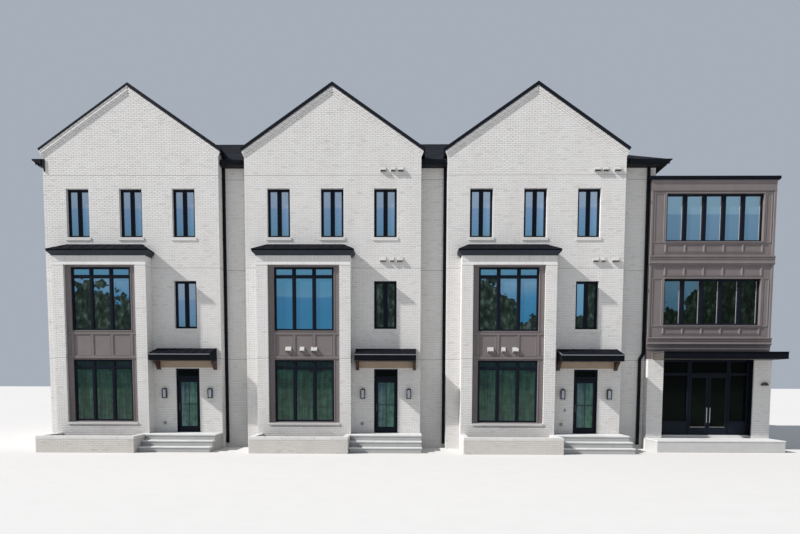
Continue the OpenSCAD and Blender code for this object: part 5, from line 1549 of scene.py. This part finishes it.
# the left end takes the lighter paint, a painted highlight; the right end keeps the dark metal
for xs, sg, mt in ((x0, 1, 3), (x1, -1, 0)):
    q = [(xs - sg * a, z0 + b) for a, b in CH]
    B.extrude(2, q if sg < 0 else q[::-1], y0 + 61, 126, axis="y", mat=mt)
    B.box(2, min(xs, xs + sg * 60), max(xs, xs + sg * 60), 127, y1, 3485, z1, mt, 0.5)
    B.box(2, min(xs + sg * 12, xs + sg * 24), max(xs + sg * 12, xs + sg * 24), y0 + 61, 126, z0 + 88, z0 + 98, mt, 0.2)
    B.box(2, min(xs + sg * 12, xs + sg * 24), max(xs + sg * 12, xs + sg * 24), y0 + 61, 126, z0 + 168, z0 + 178, mt, 0.2)
B.box(2, x0 + 62, x1 - 62, y0 + 62, y1, z1 - 40, z1 - 14, 0)
for i in range(14):
    x = x0 + 110 + i * (x1 - x0 - 240) / 13
    B.box(2, x, x + 30, y0 + 66, y1, z1 - 14, z1 - 4, 0)
# front top strip in the light grey paint: a painted highlight along the edge
B.box(2, x0 + 2, x1 - 2, y0 + 1, y0 + 12, z1 - 22, z1 - 1, 1)
for i in range(11):
    a = y0 + 62 + i * (126 - y0 - 62) / 11
    B.box(2, x0 + 62, x1 - 62, a + 2, a + (126 - y0 - 62) / 11 - 2, z0 + 6, z0 + 18, 2, rng.random())
for i in range(2):
    B.box(2, x0 + 62, x1 - 62, 130 + i * 98, 226 + i * 98, 3488, 3500, 2, rng.random())
B.make("shop_canopy_steel", [METAL, DRIP_HIGHLIGHT, SOFFIT, SIDE_HIGHLIGHT], "building", "dark_metal", ["block_canopy"], bevel=2)

# metal coping in sections with a turned-down edge
B = Build()
zc = 10270.0


def coping_run(ax, x0, x1, y0, y1, cut=2400.0):
    a, b = (x0, x1) if ax == "x" else (y0, y1)
    n = max(1, round((b - a) / cut))
    for i in range(n):
        p, q = a + i * (b - a) / n, a + (i + 1) * (b - a) / n
        g = 1.5
        if ax == "x":
            B.box(2, p + (g if i else 0), q - (g if i < n - 1 else 0), y0, y1, zc + 28, zc + 133, 0, rng.random())
        else:
            B.box(2, x0, x1, p + (g if i else 0), q - (g if i < n - 1 else 0), zc + 28, zc + 133, 0, rng.random())


coping_run("x", BX0 - 100, BX1 + 100, 230, 429)
coping_run("x", BX0 + 2, BX1 + 100, 429.5, 526)
coping_run("x", BX0 + 224, BX1 + 100, 530, 680)
coping_run("y", BX1 - 400, BX1 + 100, 684, 11082)
coping_run("x", BX0 + 224, BX1 + 100, 11086, 11586)
B.box(2, BX0 - 80, BX1 + 80, 250, 429, zc, zc + 27, 1, 0.4)
B.box(2, BX0 + 4, BX1 + 80, 430, 660, zc, zc + 27, 1, 0.4)
B.box(2, BX1 - 380, BX1 + 80, 662, 11100, zc, zc + 27, 1, 0.4)
B.box(2, BX0 + 230, BX1 + 80, 11102, 11566, zc, zc + 27, 1, 0.4)
B.make("coping_metal", [COPING, TRIM], "building", "dark_metal", ["block_coping"], bevel=6)

# stone landing in front of the shop; its set-back face under the slabs takes a darker copy of the stone, painted shade
B = Build()
B.box(2, BX0 + 14, BX1 - 14, -986, 130, 0, 385, 1, 0.4)
nx = 5
for i in range(nx):
    a = BX0 + i * (BX1 - BX0) / nx
    for y0, y1 in ((-1000, -640), (-636, -256), (-252, 130)):
        B.box(2, a + (2 if i else 0), a + (BX1 - BX0) / nx - (2 if i < nx - 1 else 0), y0, y1, 387, 440, 0, rng.random())
B.box(2, 5034, 8501, 130, 630, 0, 440, 0, 0.5)
B.box(2, 5034, 8501, 400, 630, 440, 540, 0, 0.6)
B.make("shop_landing_stone", [STEP, make_stone("stone_edge_painted_shade", (0.42, 0.42, 0.41), (0.54, 0.54, 0.53))], "building", "light_stone",
       ["block_landing"], bevel=5, seg=2)


# --------------------------------------------------------- carried-over nodes
def repaint(node, *mats, bevel=0.0, seg=1):
    ob = NODES[node]
    if not ob.material_slots:
        ob.data.materials.append(mats[0])
    for s in ob.material_slots:
        s.link = "OBJECT"
        s.material = mats[0]
    if bevel:
        b = ob.modifiers.new("bevel", "BEVEL")
        b.width, b.segments, b.limit_method, b.angle_limit = bevel / 1000, seg, "ANGLE", math.radians(35)


repaint("floors", BOARDS)
repaint("bay_casings", TAUPE)
repaint("window_sills", STONE, bevel=6, seg=2)
repaint("planter_floors", SOIL)
repaint("block_front_wall", TAUPE)
repaint("block_roof", MEMBRANE)

# ---------------------------------------------------- floor, light and camera
bpy.ops.mesh.primitive_plane_add(size=900, location=(0, 120, -0.004))
ground = bpy.context.object
ground.name = "floor"
gm = Mat("pale_floor", rough=0.9, spec=0.2)
gc, gf = varied(gm, (0.58, 0.57, 0.55), (0.62, 0.61, 0.59), 0.05, 1.5)
ground.data.materials.append(gm.out(gc, None, gm.bump(gm.noise(8.0, 3.0), 0.05, 0.002)))

world = bpy.data.worlds.new("studio")
bpy.context.scene.world = world
world.use_nodes = True
bg = world.node_tree.nodes["Background"]
bg.inputs["Color"].default_value = (0.81, 0.90, 1.04, 1)
bg.inputs["Strength"].default_value = 0.47

sun = bpy.data.lights.new("key", "SUN")
sun.energy = 5.72
sun.angle = math.radians(1.0)
sun.color = (1.0, 0.975, 0.965)
so = bpy.data.objects.new("key", sun)
bpy.context.scene.collection.objects.link(so)
# light comes from the upper left in front of the street face
d = Vector((3.32, 1.0, -2.74)).normalized()
so.rotation_mode = "QUATERNION"
so.rotation_quaternion = d.to_track_quat("-Z", "Y")
so.location = (-20, -30, 30)

cam = bpy.data.cameras.new("camera")
co = bpy.data.objects.new("camera", cam)
bpy.context.scene.collection.objects.link(co)
cam.sensor_width, cam.lens = 36.0, 27.99
cam.shift_y = 0.2032
cam.clip_start, cam.clip_end = 0.5, 3000
yaw, pit, rol = 0.0147, -0.0715, 0.0032
r0 = Vector((math.cos(yaw), math.sin(yaw), 0))
fh = Vector((-math.sin(yaw), math.cos(yaw), 0))
fw = fh * math.cos(pit) + Vector((0, 0, math.sin(pit)))
u0 = fh * -math.sin(pit) + Vector((0, 0, math.cos(pit)))
rr = r0 * math.cos(rol) + u0 * math.sin(rol)
uu = r0 * -math.sin(rol) + u0 * math.cos(rol)
rot = Matrix((rr, uu, -fw)).transposed()
co.matrix_world = Matrix.Translation((0.194, -29.058, 2.461)) @ rot.to_4x4()
bpy.context.scene.camera = co
bpy.context.scene.view_settings.view_transform = "Standard"
bpy.context.scene.view_settings.look = "None"
